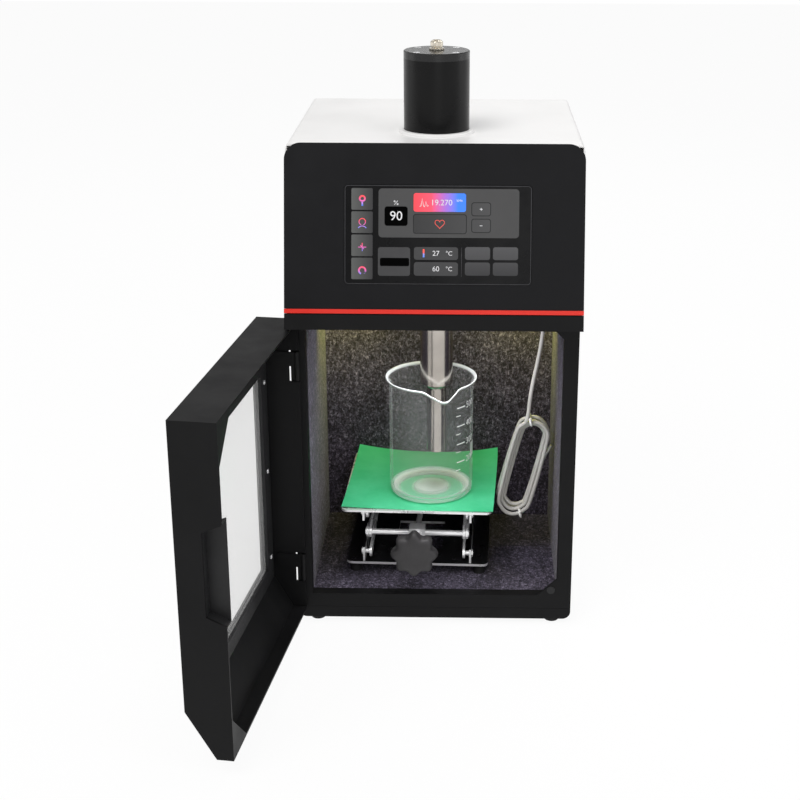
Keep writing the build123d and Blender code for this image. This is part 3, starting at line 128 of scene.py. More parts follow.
def faceOut(piece):
    editPoints(piece)
    bpy.ops.mesh.select_all(action="SELECT")
    bpy.ops.mesh.remove_doubles(threshold=tiny)
    bpy.ops.mesh.normals_make_consistent(inside=False)
    leaveMesh()


def smooth(piece, degrees):
    activate(piece)
    bpy.ops.object.shade_smooth_by_angle(angle=math.radians(degrees))


def dress(piece, finish, body):
    piece.data.materials.clear()
    piece.data.materials.append(finishes[finish])
    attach(piece, body)


def joined(name, pieces):
    pickNone()
    for piece in pieces:
        piece.select_set(True)
    bpy.context.view_layer.objects.active = pieces[0]
    bpy.ops.object.join()
    return named(name)


def turned(name, outline, middle, sides=96):  # a lathe: ring after ring, closed at both ends
    firstRadius, firstHeight = outline[0]
    radius, height = firstRadius, firstHeight
    pickNone()
    bpy.ops.mesh.primitive_circle_add(
        vertices=sides, radius=radius * mm, location=(0, 0, height * mm), fill_type="NOTHING"
    )
    piece = named(name)
    bpy.ops.object.transform_apply(location=True, rotation=True, scale=True)
    editPoints(piece)
    for nextRadius, nextHeight in outline[1:]:
        bpy.ops.mesh.extrude_region_move(
            TRANSFORM_OT_translate={"value": (0, 0, (nextHeight - height) * mm)}
        )
        ratio = nextRadius / radius
        bpy.ops.transform.resize(value=(ratio, ratio, 1), center_override=(0, 0, nextHeight * mm))
        radius, height = nextRadius, nextHeight
    bpy.ops.mesh.extrude_region_move()
    bpy.ops.mesh.merge(type="CENTER")
    leaveMesh()

    def onFirstRing(co):
        return abs(co.z - firstHeight * mm) < tiny and abs(co.xy.length - firstRadius * mm) < tiny

    editPoints(piece, onFirstRing)
    bpy.ops.mesh.extrude_region_move()
    bpy.ops.mesh.merge(type="CENTER")
    leaveMesh()
    placeBy(piece, Matrix.Translation(Vector((middle[0], middle[1], 0)) * mm))
    faceOut(piece)
    return piece


def flatGrid(name, wide, deep, across, along):
    pickNone()
    bpy.ops.mesh.primitive_grid_add(
        x_subdivisions=across, y_subdivisions=along, size=1, location=(0, 0, 0)
    )
    piece = named(name)
    editPoints(piece)
    bpy.ops.transform.resize(value=(wide * mm, deep * mm, 1))
    leaveMesh()
    return piece


def tube(name, kind, lines, thick, rounds):  # each line is its points, and whether it closes
    curve = bpy.data.curves.new(name, "CURVE")
    curve.dimensions = "3D"
    for points, closed in lines:
        spline = curve.splines.new(kind)
        spline.points.add(len(points) - 1)
        for point, place in zip(spline.points, points):
            point.co = (*(Vector(place) * mm), 1.0)
        spline.use_cyclic_u = closed
    curve.bevel_depth = thick / 2 * mm
    curve.bevel_resolution = rounds
    curve.use_fill_caps = True
    return addObject(name, curve)


def typed(body, size, thick):  # numbers or signs as one flat mesh, centred on the origin
    pickNone()
    bpy.ops.object.text_add(location=(0, 0, 0))
    text = bpy.context.object
    text.data.body = body
    text.data.size = size * mm
    text.data.extrude = thick * mm
    text.data.align_x, text.data.align_y = "CENTER", "CENTER"
    bpy.ops.object.convert(target="MESH")
    return named("typed")


# finishes
def newFinish(name, colour, roughness, metallic=0.0):
    material = bpy.data.materials.new(name)
    material.use_nodes = True
    shader = material.node_tree.nodes["Principled BSDF"]
    shader.inputs["Base Color"].default_value = (*colour, 1.0)
    shader.inputs["Roughness"].default_value = roughness
    shader.inputs["Metallic"].default_value = metallic
    return material


def addNode(material, kind, **values):
    node = material.node_tree.nodes.new(kind)
    for key, value in values.items():
        setattr(node, key, value)
    return node


def link(material, start, end):
    material.node_tree.links.new(start, end)


def objectPlace(material, stretch=(1, 1, 1), shift=(0, 0, 0), turn=(0, 0, 0)):
    coordinates = addNode(material, "ShaderNodeTexCoord")
    mapping = addNode(material, "ShaderNodeMapping")
    mapping.inputs["Scale"].default_value = stretch
    mapping.inputs["Location"].default_value = shift
    mapping.inputs["Rotation"].default_value = turn
    link(material, coordinates.outputs["Object"], mapping.inputs["Vector"])
    return mapping.outputs["Vector"]


def addNoise(material, vector, scale, detail, rough=0.55, bend=0.0):
    noise = addNode(material, "ShaderNodeTexNoise")
    noise.inputs["Scale"].default_value = scale
    noise.inputs["Detail"].default_value = detail
    noise.inputs["Roughness"].default_value = rough
    noise.inputs["Distortion"].default_value = bend
    link(material, vector, noise.inputs["Vector"])
    return noise.outputs["Fac"]


def addRamp(material, source, stops):
    ramp = addNode(material, "ShaderNodeValToRGB")
    band = ramp.color_ramp
    while len(band.elements) < len(stops):
        band.elements.new(0.5)
    for element, (place, colour) in zip(band.elements, stops):
        element.position = place
        element.color = (*colour, 1.0)
    link(material, source, ramp.inputs["Fac"])
    return ramp.outputs["Color"]


def spread(material, source, low, high, start=0.35, end=0.65):
    mapped = addNode(material, "ShaderNodeMapRange")
    mapped.inputs["From Min"].default_value = start
    mapped.inputs["From Max"].default_value = end
    mapped.inputs["To Min"].default_value = low
    mapped.inputs["To Max"].default_value = high
    link(material, source, mapped.inputs["Value"])
    return mapped.outputs["Result"]


def axisOf(material, vector, axis):
    split = addNode(material, "ShaderNodeSeparateXYZ")
    link(material, vector, split.inputs["Vector"])
    return split.outputs[axis]


def addMath(material, operation, *values):  # each value is a number or another node's output
    node = addNode(material, "ShaderNodeMath", operation=operation)
    for socket, value in zip(node.inputs, values):
        if isinstance(value, float):
            socket.default_value = value
        else:
            link(material, value, socket)
    return node.outputs["Value"]


def glossOf(material, gloss):
    shaderOf(material).inputs["Specular IOR Level"].default_value = gloss


def shaderOf(material):
    return material.node_tree.nodes["Principled BSDF"]


def colourBy(material, colour):
    link(material, colour, shaderOf(material).inputs["Base Color"])


def roughBy(material, value):
    link(material, value, shaderOf(material).inputs["Roughness"])


def bumpBy(material, height, depth, strength):  # depth in millimetres
    bump = addNode(material, "ShaderNodeBump")
    bump.inputs["Distance"].default_value = depth * mm
    bump.inputs["Strength"].default_value = strength
    link(material, height, bump.inputs["Height"])
    link(material, bump.outputs["Normal"], shaderOf(material).inputs["Normal"])


# broad clouds shift the colour, a fine grain is the bump, and one of them shifts the roughness
surfaces = {
    "paint": {"cloud": (22.0, 3.0), "detail": 2.0, "ramp": (0.3, 0.75), "rough": (-0.05, 0.07), "bump": 0.6},
    "metal": {
        "cloud": (28.0, 2.0), "lines": (90.0, 3.0, 0.5), "ramp": (0.3, 0.7),
        "rough": (-0.03, 0.05), "bump": 0.4,
    },
    "moulded": {"cloud": (40.0, 2.0), "detail": 3.0, "ramp": (0.3, 0.75), "rough": (-0.06, 0.08), "bump": 0.5},
}


def cover(material, facts, colours, cloud, roughness, roughSource, fine, depth):
    colourBy(material, addRamp(material, cloud, tuple(zip(facts["ramp"], colours))))
    less, more = facts["rough"]
    roughBy(material, spread(material, roughSource, roughness + less, roughness + more))
    bumpBy(material, fine, depth, facts["bump"])


def paint(name, colour, paler, roughness, grain, depth, gloss):  # powder coat, fine orange peel
    facts = surfaces["paint"]
    material = newFinish(name, colour, roughness)
    glossOf(material, gloss)
    place = objectPlace(material)
    cloud = addNoise(material, place, *facts["cloud"])
    fine = addNoise(material, place, grain, facts["detail"])
    cover(material, facts, (colour, paler), cloud, roughness, cloud, fine, depth)
    return material


def metal(name, colour, darker, roughness, stretch, depth, metallic):  # brushed or turned
    facts = surfaces["metal"]
    material = newFinish(name, colour, roughness, metallic)
    lines = addNoise(material, objectPlace(material, stretch), *facts["lines"])
    cloud = addNoise(material, objectPlace(material), *facts["cloud"])
    cover(material, facts, (darker, colour), cloud, roughness, lines, lines, depth)
    return material


def moulded(name, colour, paler, roughness, grain, depth, gloss):  # plastic, rubber, ceramic, print
    facts = surfaces["moulded"]
    material = newFinish(name, colour, roughness)
    glossOf(material, gloss)
    place = objectPlace(material)
    fine = addNoise(material, place, grain, facts["detail"])
    cloud = addNoise(material, place, *facts["cloud"])
    cover(material, facts, (colour, paler), cloud, roughness, fine, fine, depth)
    return material


def gradientFinish(name, axis, low, high, stops, glow=0.0):
    material = newFinish(name, stops[0][1], 0.35)
    glossOf(material, 0.1)
    along = axisOf(material, objectPlace(material), axis)
    share = spread(material, along, 0.0, 1.0, low * mm, high * mm)
    colour = addRamp(material, share, stops)
    colourBy(material, colour)
    if glow:
        link(material, colour, shaderOf(material).inputs["Emission Color"])
        shaderOf(material).inputs["Emission Strength"].default_value = glow
    return material


# sound-proof felt: crumpled dark pile with pale flecks, crushed here and there; the flecks' purple tint is
# painted light from the front
feltFacts = {
    # the palest colour's purple is painted light from the front
    "colours": ((0.24, (0.012, 0.010, 0.016)), (0.33, (0.070, 0.060, 0.090)), (0.46, (0.31, 0.275, 0.37))),
    "roughness": 0.9,
    "pile": (300.0, 8.0, 0.75, 0.3),
    "streaks": (390.0, 5.0, 0.7, 1.6),
    "streakStretch": (1.0, 0.5, 0.55),
    "streakTurn": (0.5, 0.3, 0.7),
    "patches": (26.0, 2.0),
    "patchLift": 0.09,
    "depth": 0.7,
    "strength": 0.7,
    "gloss": 0.15,
    "sheen": 0.12,
    "sheenRoughness": 0.5,
}


def feltFinish(name, facts):
    material = newFinish(name, facts["colours"][0][1], facts["roughness"])
    place = objectPlace(material)
    pile = addNoise(material, place, *facts["pile"])
    along = objectPlace(material, facts["streakStretch"], turn=facts["streakTurn"])
    streaks = addNoise(material, along, *facts["streaks"])
    patches = addNoise(material, place, *facts["patches"])
    mixed = addMath(material, "MULTIPLY", pile, streaks)
    shade = addMath(material, "MULTIPLY_ADD", patches, facts["patchLift"], mixed)
    colourBy(material, addRamp(material, shade, facts["colours"]))
    bumpBy(material, pile, facts["depth"], facts["strength"])
    glossOf(material, facts["gloss"])
    shader = shaderOf(material)
    shader.inputs["Sheen Weight"].default_value = facts["sheen"]
    shader.inputs["Sheen Roughness"].default_value = facts["sheenRoughness"]
    return material


# clear walls, paler where they are seen edge on: their pale tint, shown through the alpha, is a painted
# reflection of the bright surroundings; alpha is (face on, edge on)
clearFacts = {"smear": (30.0, 3.0), "smearRough": 0.03, "edgeFrom": 0.72}
# the pane's pale grey is a painted reflection of the bright surroundings
paneFacts = {"reflectionTint": (0.76, 0.76, 0.75), "roughness": 0.2, "alpha": (0.26, 0.4), "gloss": 0.15}
glassFacts = {
    "reflectionTint": (0.90, 0.95, 0.93),
    "roughness": 0.03,
    "alpha": (0.035, 0.8),
    "gloss": 0.8,
    "middle": (-5.5, 88.2),
    "baseHighlightsOut": 43.0,  # the thick base gets painted whitish highlight rings out to this radius
    "baseHighlightsHigh": (111.3, 114.5),  # and they fade out between these heights
    "rings": ((0.0, 0.42), (0.34, 0.5), (0.5, 0.1), (0.72, 0.12), (0.88, 0.65), (1.0, 0.35)),
}


def clearFinish(name, facts):
    material = newFinish(name, facts["reflectionTint"], facts["roughness"])
    glossOf(material, facts["gloss"])
    layer = addNode(material, "ShaderNodeLayerWeight")
    layer.inputs["Blend"].default_value = 0.5
    smear = addNoise(material, objectPlace(material), *clearFacts["smear"])
    rougher = facts["roughness"] + clearFacts["smearRough"]
    roughBy(material, spread(material, smear, facts["roughness"], rougher))
    # more of the pale painted reflection where the wall is seen edge on
    see = spread(material, layer.outputs["Facing"], *facts["alpha"], clearFacts["edgeFrom"], 1.0)
    link(material, see, shaderOf(material).inputs["Alpha"])
    return material, see


def beakerFinish(name, facts):
    material, see = clearFinish(name, facts)
    middleX, middleY = facts["middle"]
    flat = objectPlace(material, (1, 1, 0), (-middleX * mm, -middleY * mm, 0))
    away = addNode(material, "ShaderNodeVectorMath", operation="LENGTH")
    link(material, flat, away.inputs[0])
    # painted highlight rings in the thick base, fading out upwards
    share = spread(material, away.outputs["Value"], 0.0, 1.0, 0.0, facts["baseHighlightsOut"] * mm)
    rings = addRamp(material, share, [(place, (white,) * 3) for place, white in facts["rings"]])
    full, gone = facts["baseHighlightsHigh"]
    height = axisOf(material, objectPlace(material), "Z")
    low = spread(material, height, 1.0, 0.0, full * mm, gone * mm)
    base = addMath(material, "MULTIPLY", rings, low)
    # the rim's painted highlight
    rim = addNode(material, "ShaderNodeAttribute", attribute_name="rimHighlightShare")
    ends = addMath(material, "MAXIMUM", base, rim.outputs["Fac"])
    link(material, addMath(material, "MAXIMUM", ends, see), shaderOf(material).inputs["Alpha"])
    return material


# bright pressed steel whose upper face carries a painted dark reflection of the chamber
plateFacts = {
    "metal": ((0.80, 0.80, 0.80), (0.74, 0.74, 0.75), 0.3, (1, 1, 1), 0.0015, 0.65),
    "paintedReflectionFacing": (0.6, 0.95),
    "colours": ((0.0, (0.92, 0.92, 0.92)), (1.0, (0.014, 0.014, 0.016))),
}


def plateFinish(name, facts):
    material = metal(name, *facts["metal"])
    normal = addNode(material, "ShaderNodeTexCoord").outputs["Normal"]
    # faces turned up get the painted reflection's near black
    up = spread(material, axisOf(material, normal, "Z"), 0.0, 1.0, *facts["paintedReflectionFacing"])
    colourBy(material, addRamp(material, up, facts["colours"]))
    return material


paints = {  # colour, paler colour, roughness, grain, depth in millimetres, gloss
    "blackPaint": ((0.0055, 0.0055, 0.0058), (0.0085, 0.0085, 0.009), 0.5, 1500.0, 0.03, 0.13),
    "blackPanel": ((0.0068, 0.0068, 0.0078), (0.0095, 0.0095, 0.0108), 0.45, 1900.0, 0.015, 0.13),
    "whitePaint": ((0.835, 0.83, 0.825), (0.865, 0.86, 0.855), 0.42, 1400.0, 0.02, 0.35),
    "redStrip": ((0.68, 0.03, 0.02), (0.74, 0.04, 0.028), 0.35, 1200.0, 0.01, 0.2),
    "anodised": ((0.0022, 0.0022, 0.0024), (0.0035, 0.0035, 0.0037), 0.27, 2600.0, 0.004, 0.2),
}
metals = {  # colour, darker colour, roughness, stretch of the lines, depth in millimetres, metallic
    "zincSheet": ((0.62, 0.63, 0.64), (0.42, 0.43, 0.45), 0.38, (1, 1, 1), 0.0015, 1.0),
    "aluminium": ((0.78, 0.79, 0.80), (0.66, 0.67, 0.68), 0.32, (1, 1, 12), 0.0015, 1.0),
    "steel": ((0.95, 0.95, 0.96), (0.86, 0.86, 0.87), 0.22, (1, 14, 1), 0.0015, 0.6),
    "stainless": ((0.93, 0.93, 0.93), (0.86, 0.86, 0.87), 0.28, (1, 1, 1), 0.0015, 0.55),
    "hornTitanium": ((0.47, 0.435, 0.395), (0.40, 0.37, 0.335), 0.2, (1, 1, 30), 0.0008, 1.0),
    "capMetal": ((0.012, 0.012, 0.0125), (0.008, 0.008, 0.0085), 0.26, (1, 1, 1), 0.0015, 0.25),
    "brass": ((0.80, 0.75, 0.65), (0.66, 0.60, 0.50), 0.18, (1, 1, 24), 0.0015, 0.9),
}
mouldings = {  # colour, paler colour, roughness, grain, depth in millimetres, gloss
    "footRubber": ((0.01, 0.01, 0.01), (0.016, 0.016, 0.016), 0.72, 700.0, 0.06, 0.3),
    "screenGlass": ((0.0035, 0.0035, 0.004), (0.0045, 0.0045, 0.005), 0.2, 60.0, 0.002, 0.12),
    "darkPlastic": ((0.01, 0.01, 0.0105), (0.016, 0.016, 0.017), 0.5, 900.0, 0.03, 0.3),
    "boardGreen": ((0.02, 0.13, 0.05), (0.04, 0.2, 0.09), 0.4, 300.0, 0.08, 0.5),
    "ceramic": ((0.30, 0.27, 0.23), (0.36, 0.33, 0.29), 0.5, 900.0, 0.03, 0.5),
    "matGreen": ((0.055, 0.58, 0.26), (0.10, 0.68, 0.35), 0.34, 260.0, 0.04, 0.6),
    "knobBlack": ((0.026, 0.025, 0.026), (0.04, 0.038, 0.04), 0.5, 500.0, 0.05, 0.4),
    "leadGrey": ((0.50, 0.49, 0.455), (0.58, 0.57, 0.54), 0.36, 500.0, 0.01, 0.5),
    "tieWhite": ((0.88, 0.88, 0.84), (0.9, 0.9, 0.87), 0.4, 500.0, 0.02, 0.5),
    "lampLens": ((0.9, 0.88, 0.7), (0.95, 0.93, 0.78), 0.3, 900.0, 0.03, 0.5),
    "tileGrey": ((0.058, 0.058, 0.06), (0.07, 0.07, 0.072), 0.35, 80.0, 0.002, 0.1),
    "shadeGrey": ((0.022, 0.022, 0.023), (0.03, 0.03, 0.031), 0.4, 80.0, 0.002, 0.1),
    # the rim line's painted highlight on the glass's edge, and the divider
    "rimHighlightAndDividerGrey": ((0.03, 0.03, 0.033), (0.045, 0.045, 0.05), 0.3, 80.0, 0.002, 0.3),
    "cardGrey": ((0.073, 0.073, 0.074), (0.08, 0.08, 0.081), 0.35, 80.0, 0.002, 0.1),
    "screenBlack": ((0.0006, 0.0006, 0.0006), (0.001, 0.001, 0.001), 0.4, 80.0, 0.002, 0.02),
    "screenWhite": ((0.72, 0.72, 0.74), (0.8, 0.8, 0.82), 0.4, 80.0, 0.002, 0.1),
    "printWhite": ((0.82, 0.84, 0.84), (0.88, 0.9, 0.9), 0.5, 400.0, 0.01, 0.5),
}
lampGlow = ((1.0, 0.96, 0.62, 1.0), 2.0)

finishes = {name: paint(name, *values) for name, values in paints.items()}
finishes.update({name: metal(name, *values) for name, values in metals.items()})
finishes.update({name: moulded(name, *values) for name, values in mouldings.items()})
finishes["felt"] = feltFinish("felt", feltFacts)
finishes["basePlate"] = plateFinish("basePlate", plateFacts)
finishes["clearPane"] = clearFinish("clearPane", paneFacts)[0]
finishes["beakerGlass"] = beakerFinish("beakerGlass", glassFacts)
lens = shaderOf(finishes["lampLens"])
lens.inputs["Emission Color"].default_value, lens.inputs["Emission Strength"].default_value = lampGlow

nodeFinish = {
    "blackPaint": "base_tray front_frame head_sill door_shell door_gussets cabinet_hinges door_hinges",
    "blackPanel": "front_panel",
    "whitePaint": "outer_wrap rear_panel transducer_ring",
    "redStrip": "accent_strip",
    "felt": "floor_lining side_linings back_lining ceiling_lining",
    "zincSheet": "chamber_shell power_supply",
    "footRubber": "rubber_feet jack_feet",
    "screenGlass": "touch_glass",
    "darkPlastic": "display_module fan_frame fan_rotor power_inlet switch_body switch_rocker"
    " sensor_gland handle_pocket window_retainer catch_magnets",
    "boardGreen": "generator_board",
    "aluminium": "heat_sink",
    "steel": "rear_screws cap_screws retainer_screws front_cross_rod rear_cross_rod lead_screw",
    "stainless": "jack_platform lower_arms_outer lower_arms_inner upper_arms_inner upper_arms_outer"
    " back_mass sensor_rod",
    "basePlate": "jack_base",
    "anodised": "transducer_housing",
    "capMetal": "transducer_cap",
    "brass": "cap_connector",
    "hornTitanium": "horn horn_tip",
    "ceramic": "piezo_rings",
    "clearPane": "window_pane",
    "beakerGlass": "beaker",
    "matGreen": "jack_mat",
    "knobBlack": "jack_knob",
    "leadGrey": "sensor_cord sensor_coil",
    "lampLens": "chamber_lamp",
}
undressed = set(nodes)
for finishName, members in nodeFinish.items():
    for member in members.split():
        slots = nodes[member].data.materials
        slots.clear()
        slots.append(finishes[finishName])
        undressed.remove(member)
print("finishes:", len(finishes), "nodes without one:", sorted(undressed))


# sensor lead: down from the gland, round in a tied hank, and out behind it to the steel rod
lead = {
    "run": [(107, 95, 306), (106.4, 95, 276), (101.6, 94.2, 245), (95.2, 93, 214)],
    "diameter": 4.0,
    "length": 1220.0,
    "middle": (89.9, 129.0),
    "lean": 13.6,
    "straight": 37.05,  # half of the height of the hank's long sides
    "level": 0.05,  # a point this near to half height belongs to neither end
    "bulge": 3.2,
    "bulgePower": 8,
    "endRadius": 16.4,
    "inset": 7.4,  # the middle turns lie this far inside the outer ones
    "turns": (0.10, 4.70),
    "perTurn": 16,
    "front": 91.2,
    "step": 4.02,
    "slack": (3.0, 2.0, 0.0, 2.0, 1.5),  # each turn hangs this much lower
    "rod": (104.4, 112.8, 117.1),
    "rodEnd": (118.2, 112.8, 145.5),
    "rodTail": 9.0,  # the lead is straight for this long before the rod
}


def hankPoint(facts, turns):  # turns from 0 at the top, first down the left side
    corner = math.tau * (turns % 1.0)
    across, along = math.sin(corner), math.cos(corner)
    half = facts["turns"][1] / 2
    radius = facts["endRadius"] - facts["inset"] * (1 - abs(turns - half) / half)
    sideways = -(radius + facts["bulge"] * across ** facts["bulgePower"]) * across
    upright = radius * along
    if abs(along) > facts["level"]:
        upright += math.copysign(facts["straight"], along)
    low = 0.5 - 0.5 * along
    upright -= facts["slack"][min(int(turns), len(facts["slack"]) - 1)] * low * low
    lean = math.radians(facts["lean"])
    return (
        facts["middle"][0] + sideways * math.cos(lean) + upright * math.sin(lean),
        facts["front"] + facts["step"] * turns,
        facts["middle"][1] - sideways * math.sin(lean) + upright * math.cos(lean),
    )


def buildLead(facts):
    points = list(facts["run"])
    firstTurn, lastTurn = facts["turns"]
    count = round((lastTurn - firstTurn) * facts["perTurn"])
    for index in range(count + 1):
        points.append(hankPoint(facts, firstTurn + (lastTurn - firstTurn) * index / count))
    rod, rodEnd = Vector(facts["rod"]), Vector(facts["rodEnd"])
    points.append(tuple(rod - (rodEnd - rod).normalized() * facts["rodTail"]))
    points.append(tuple(rod))
    piece = tube("sensorLead", "NURBS", [(points, False)], facts["diameter"], 5)
    piece.data.resolution_u = 6
    spline = piece.data.splines[0]
    spline.order_u = 3
    spline.use_endpoint_u = True
    dress(piece, "leadGrey", "cabinet")
    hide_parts("sensor_cord", "sensor_coil")
    return piece


# twisted wire ties, each round all the turns at one place of the hank
tieFacts = {
    "places": {"hankTieTop": 0.07, "hankTieLow": 0.60},  # in turns from the top
    "gap": 0.9,
    "ring": 0.12,  # half the wire's thickness in a ring of radius 1
    "thick": (8.5, 11.0),  # millimetres that this makes across the wire and along the lead
    "knot": 1.9,
    "knotOut": 1.0,
    "knotStretch": (0.9, 2.2, 0.8),
}


def buildTie(name, turns, facts, hank):
    inner, outer = Vector(hankPoint(hank, 4 + turns)), Vector(hankPoint(hank, turns))
    ahead = Vector(hankPoint(hank, 2 + turns + 0.02)) - Vector(hankPoint(hank, 2 + turns - 0.02))
    ahead.y = 0.0
    ahead.normalize()
    across = Vector((0, 1, 0))
    side = ahead.cross(across).normalized()
    around = hank["diameter"] / 2 + facts["gap"]
    halfAcross = abs(inner.y - outer.y) / 2 + around
    halfSide = abs((inner - outer).dot(side)) / 2 + around
    pickNone()
    bpy.ops.mesh.primitive_torus_add(
        major_radius=1.0, minor_radius=facts["ring"], major_segments=48, minor_segments=10, location=(0, 0, 0)
    )
    ring = named(name)
    thickOut, thickAlong = facts["thick"]
    for point in ring.data.vertices:  # squashes the ring to the bundle, keeping the wire round
        away = point.co.xy.length - 1.0
        angle = math.atan2(point.co.y, point.co.x)
        square = 1.0 / (abs(math.cos(angle)) ** 3 + abs(math.sin(angle)) ** 3) ** (1 / 3)
        point.co.x = (halfAcross * square + away * thickOut) * math.cos(angle) * mm
        point.co.y = (halfSide * square + away * thickOut) * math.sin(angle) * mm
        point.co.z *= thickAlong * mm
    knotPlace = (-(halfAcross + facts["knotOut"]) * mm, 0, 0)
    bpy.ops.mesh.primitive_uv_sphere_add(
        segments=12, ring_count=8, radius=facts["knot"] * mm, location=knotPlace
    )
    knot = named(name + "Knot")
    editPoints(knot)
    bpy.ops.transform.resize(value=facts["knotStretch"])
    leaveMesh()
    piece = joined(name, [ring, knot])
    matrix = Matrix((across, side, across.cross(side))).transposed().to_4x4()
    placeBy(piece, Matrix.Translation((inner + outer) / 2 * mm) @ matrix)
    smooth(piece, 60.0)
    dress(piece, "tieWhite", "cabinet")
    return piece


leadPiece = buildLead(lead)
ties = [buildTie(name, turns, tieFacts, lead) for name, turns in tieFacts["places"].items()]
print("lead and its ties made")


# beaker: blown glass with a rolled rim, a pouring lip and printed marks
beakerFacts = {
    "middle": glassFacts["middle"],
    "radius": 42.35,
    "outline": [
        (6, 107.9), (26, 107.5), (34, 106.95), (37.6, 106.72), (40.3, 107.7), (41.9, 110.0),
        (42.35, 113.5), (42.35, 150), (42.35, 190), (42.35, 219.5), (42.6, 223.5), (43.6, 226.6),
        (45.0, 228.4), (45.95, 229.0), (46.15, 229.7), (45.75, 230.25), (45.1, 230.2), (44.2, 229.4),
        (42.2, 227.2), (41.1, 224.0), (40.7, 220.0), (40.55, 190), (40.55, 150), (40.55, 115.0),
        (39.6, 112.2), (37.0, 110.9), (30, 110.5), (18, 110.7), (6, 111.0),
    ],
    "lip": 14.8,  # degrees right of the front
    "lipHalf": 5.0,
    "lipFrom": 226.0,
    "lipReach": 11.5,
    "lipDrop": 7.0,
    "lipSpread": 16.0,
    "rimFrom": 228.0,
    # share of white on the rim, a painted highlight
    "rimHighlight": 0.85,
    "marks": {207.8: "500", 188.4: "400", 169.1: "300", 149.7: "200"},  # height of each number of millilitres
    "longBar": (46.0, 11.0, 1.2),  # degrees right of the front, width, height
    "shortBar": (41.0, 6.0, 0.8),
    "shortBelow": 8.5,
    "number": (66.0, 9.5),
    "patch": (76.0, 8.0, 15.0),
    "patchAt": 156.5,
    "numberThick": 0.03,
    "printLift": 0.03,
    "printThick": 0.05,
}


def buildBeaker(facts):
    piece = turned("beakerGlassWall", facts["outline"], facts["middle"])
    # points on the rim carry the painted highlight as near-opaque white
    rimHighlightShare = piece.data.attributes.new("rimHighlightShare", "FLOAT", "POINT")
    for point, share in zip(piece.data.vertices, rimHighlightShare.data):
        share.value = facts["rimHighlight"] if point.co.z > facts["rimFrom"] * mm else 0.0
    turn = math.radians(facts["lip"])
    way = Vector((math.sin(turn), -math.cos(turn), 0))
    middle = Vector((*facts["middle"], 0)) * mm

    def nearLip(co):
        flat = co - middle
        flat.z = 0
        if co.z <= facts["lipFrom"] * mm or flat.length == 0:
            return False
        return flat.angle(way) < math.radians(facts["lipHalf"])

    editPoints(piece, nearLip)
    bpy.ops.transform.translate(
        value=(way * facts["lipReach"] - Vector((0, 0, facts["lipDrop"]))) * mm,
        use_proportional_edit=True,
        proportional_edit_falloff="LINEAR",
        proportional_size=facts["lipSpread"] * mm,
    )
    leaveMesh()
    soften = piece.modifiers.new("soften", "SUBSURF")
    soften.levels = soften.render_levels = 1
    applyModifiers(piece)
    smooth(piece, 60.0)
    dress(piece, "beakerGlass", "jack_top")
    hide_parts("beaker")


def wrapRound(piece, facts, angle, height):  # lays a flat print round the glass at an angle from the front
    radius = facts["radius"]
    for point in piece.data.vertices:
        turn = math.radians(angle) + point.co.x / mm / radius
        reach = (radius + facts["printLift"] + point.co.z / mm) * mm
        high = point.co.y
        point.co = (
            facts["middle"][0] * mm + reach * math.sin(turn),
            facts["middle"][1] * mm - reach * math.cos(turn),
            height * mm + high,
        )


def printBar(facts, height, values):
    angle, wide, tall = values
    bar = flatGrid("printBar", wide, tall, 10, 1)
    editPoints(bar)
    bpy.ops.mesh.select_all(action="SELECT")
    bpy.ops.mesh.extrude_region_move(
        TRANSFORM_OT_translate={"value": (0, 0, facts["printThick"] * mm)}
    )
    leaveMesh()
    wrapRound(bar, facts, angle, height)
    return bar


def buildPrint(facts):
    parts = []
    for height in facts["marks"]:
        parts.append(printBar(facts, height, facts["longBar"]))
        parts.append(printBar(facts, height - facts["shortBelow"], facts["shortBar"]))
    parts.append(printBar(facts, facts["patchAt"], facts["patch"]))
    angle, size = facts["number"]
    for height, number in facts["marks"].items():
        parts.append(typed(number, size, facts["numberThick"]))
        wrapRound(parts[-1], facts, angle, height)
    piece = joined("beakerPrint", parts)
    faceOut(piece)
    dress(piece, "printWhite", "jack_top")


buildBeaker(beakerFacts)
buildPrint(beakerFacts)
print("beaker made")


# green silicone mat, its back corners curled up
matFacts = {
    "middle": (-14.6, 109.2),
    "size": (152.0, 148.0),
    "turn": -3.0,
    "low": 106.22,
    "thick": 0.45,
    "curl": {(-1, 1): 7.5, (1, 1): 8.5, (-1, -1): 1.6, (1, -1): 0.8},  # rise of each corner
    "curlPower": (2.2, 2.6),
    "pull": (0.01, 0.025),  # a raised corner draws in by these shares of its rise squared
    "ripple": 0.12,
    "rippleWave": (17.0, 29.0),
    "rippleFrom": 90.0,
}


def buildMat(facts):
    wide, deep = facts["size"]
    powerX, powerY = facts["curlPower"]
    pullX, pullY = facts["pull"]
    waveX, waveY = facts["rippleWave"]
    piece = flatGrid("greenMat", wide, deep, 40, 40)
    for point in piece.data.vertices:
        x, y = point.co.x / mm, point.co.y / mm
        rise = 0.0
        for (sideX, sideY), curl in facts["curl"].items():
            alongX = max(0.0, sideX * x / (wide / 2))
            alongY = max(0.0, sideY * y / (deep / 2))
            rise += curl * alongX**powerX * alongY**powerY
        ripple = facts["ripple"] * (1 + math.sin(x / waveX + y / waveY))
        ripple *= min(1.0, (abs(x) + abs(y)) / facts["rippleFrom"])
        x -= math.copysign(pullX * rise * rise, x)
        y -= pullY * rise * rise
        point.co = Vector((x, y, rise + ripple)) * mm
    turn = Matrix.Rotation(math.radians(facts["turn"]), 4, "Z")
    placeBy(piece, Matrix.Translation(Vector((*facts["middle"], facts["low"])) * mm) @ turn)
    thick = piece.modifiers.new("thick", "SOLIDIFY")
    thick.thickness = facts["thick"] * mm
    thick.offset = 1.0
    applyModifiers(piece)
    smooth(piece, 50.0)
    dress(piece, "matGreen", "jack_top")
    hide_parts("jack_mat")


buildMat(matFacts)
print("mat made")


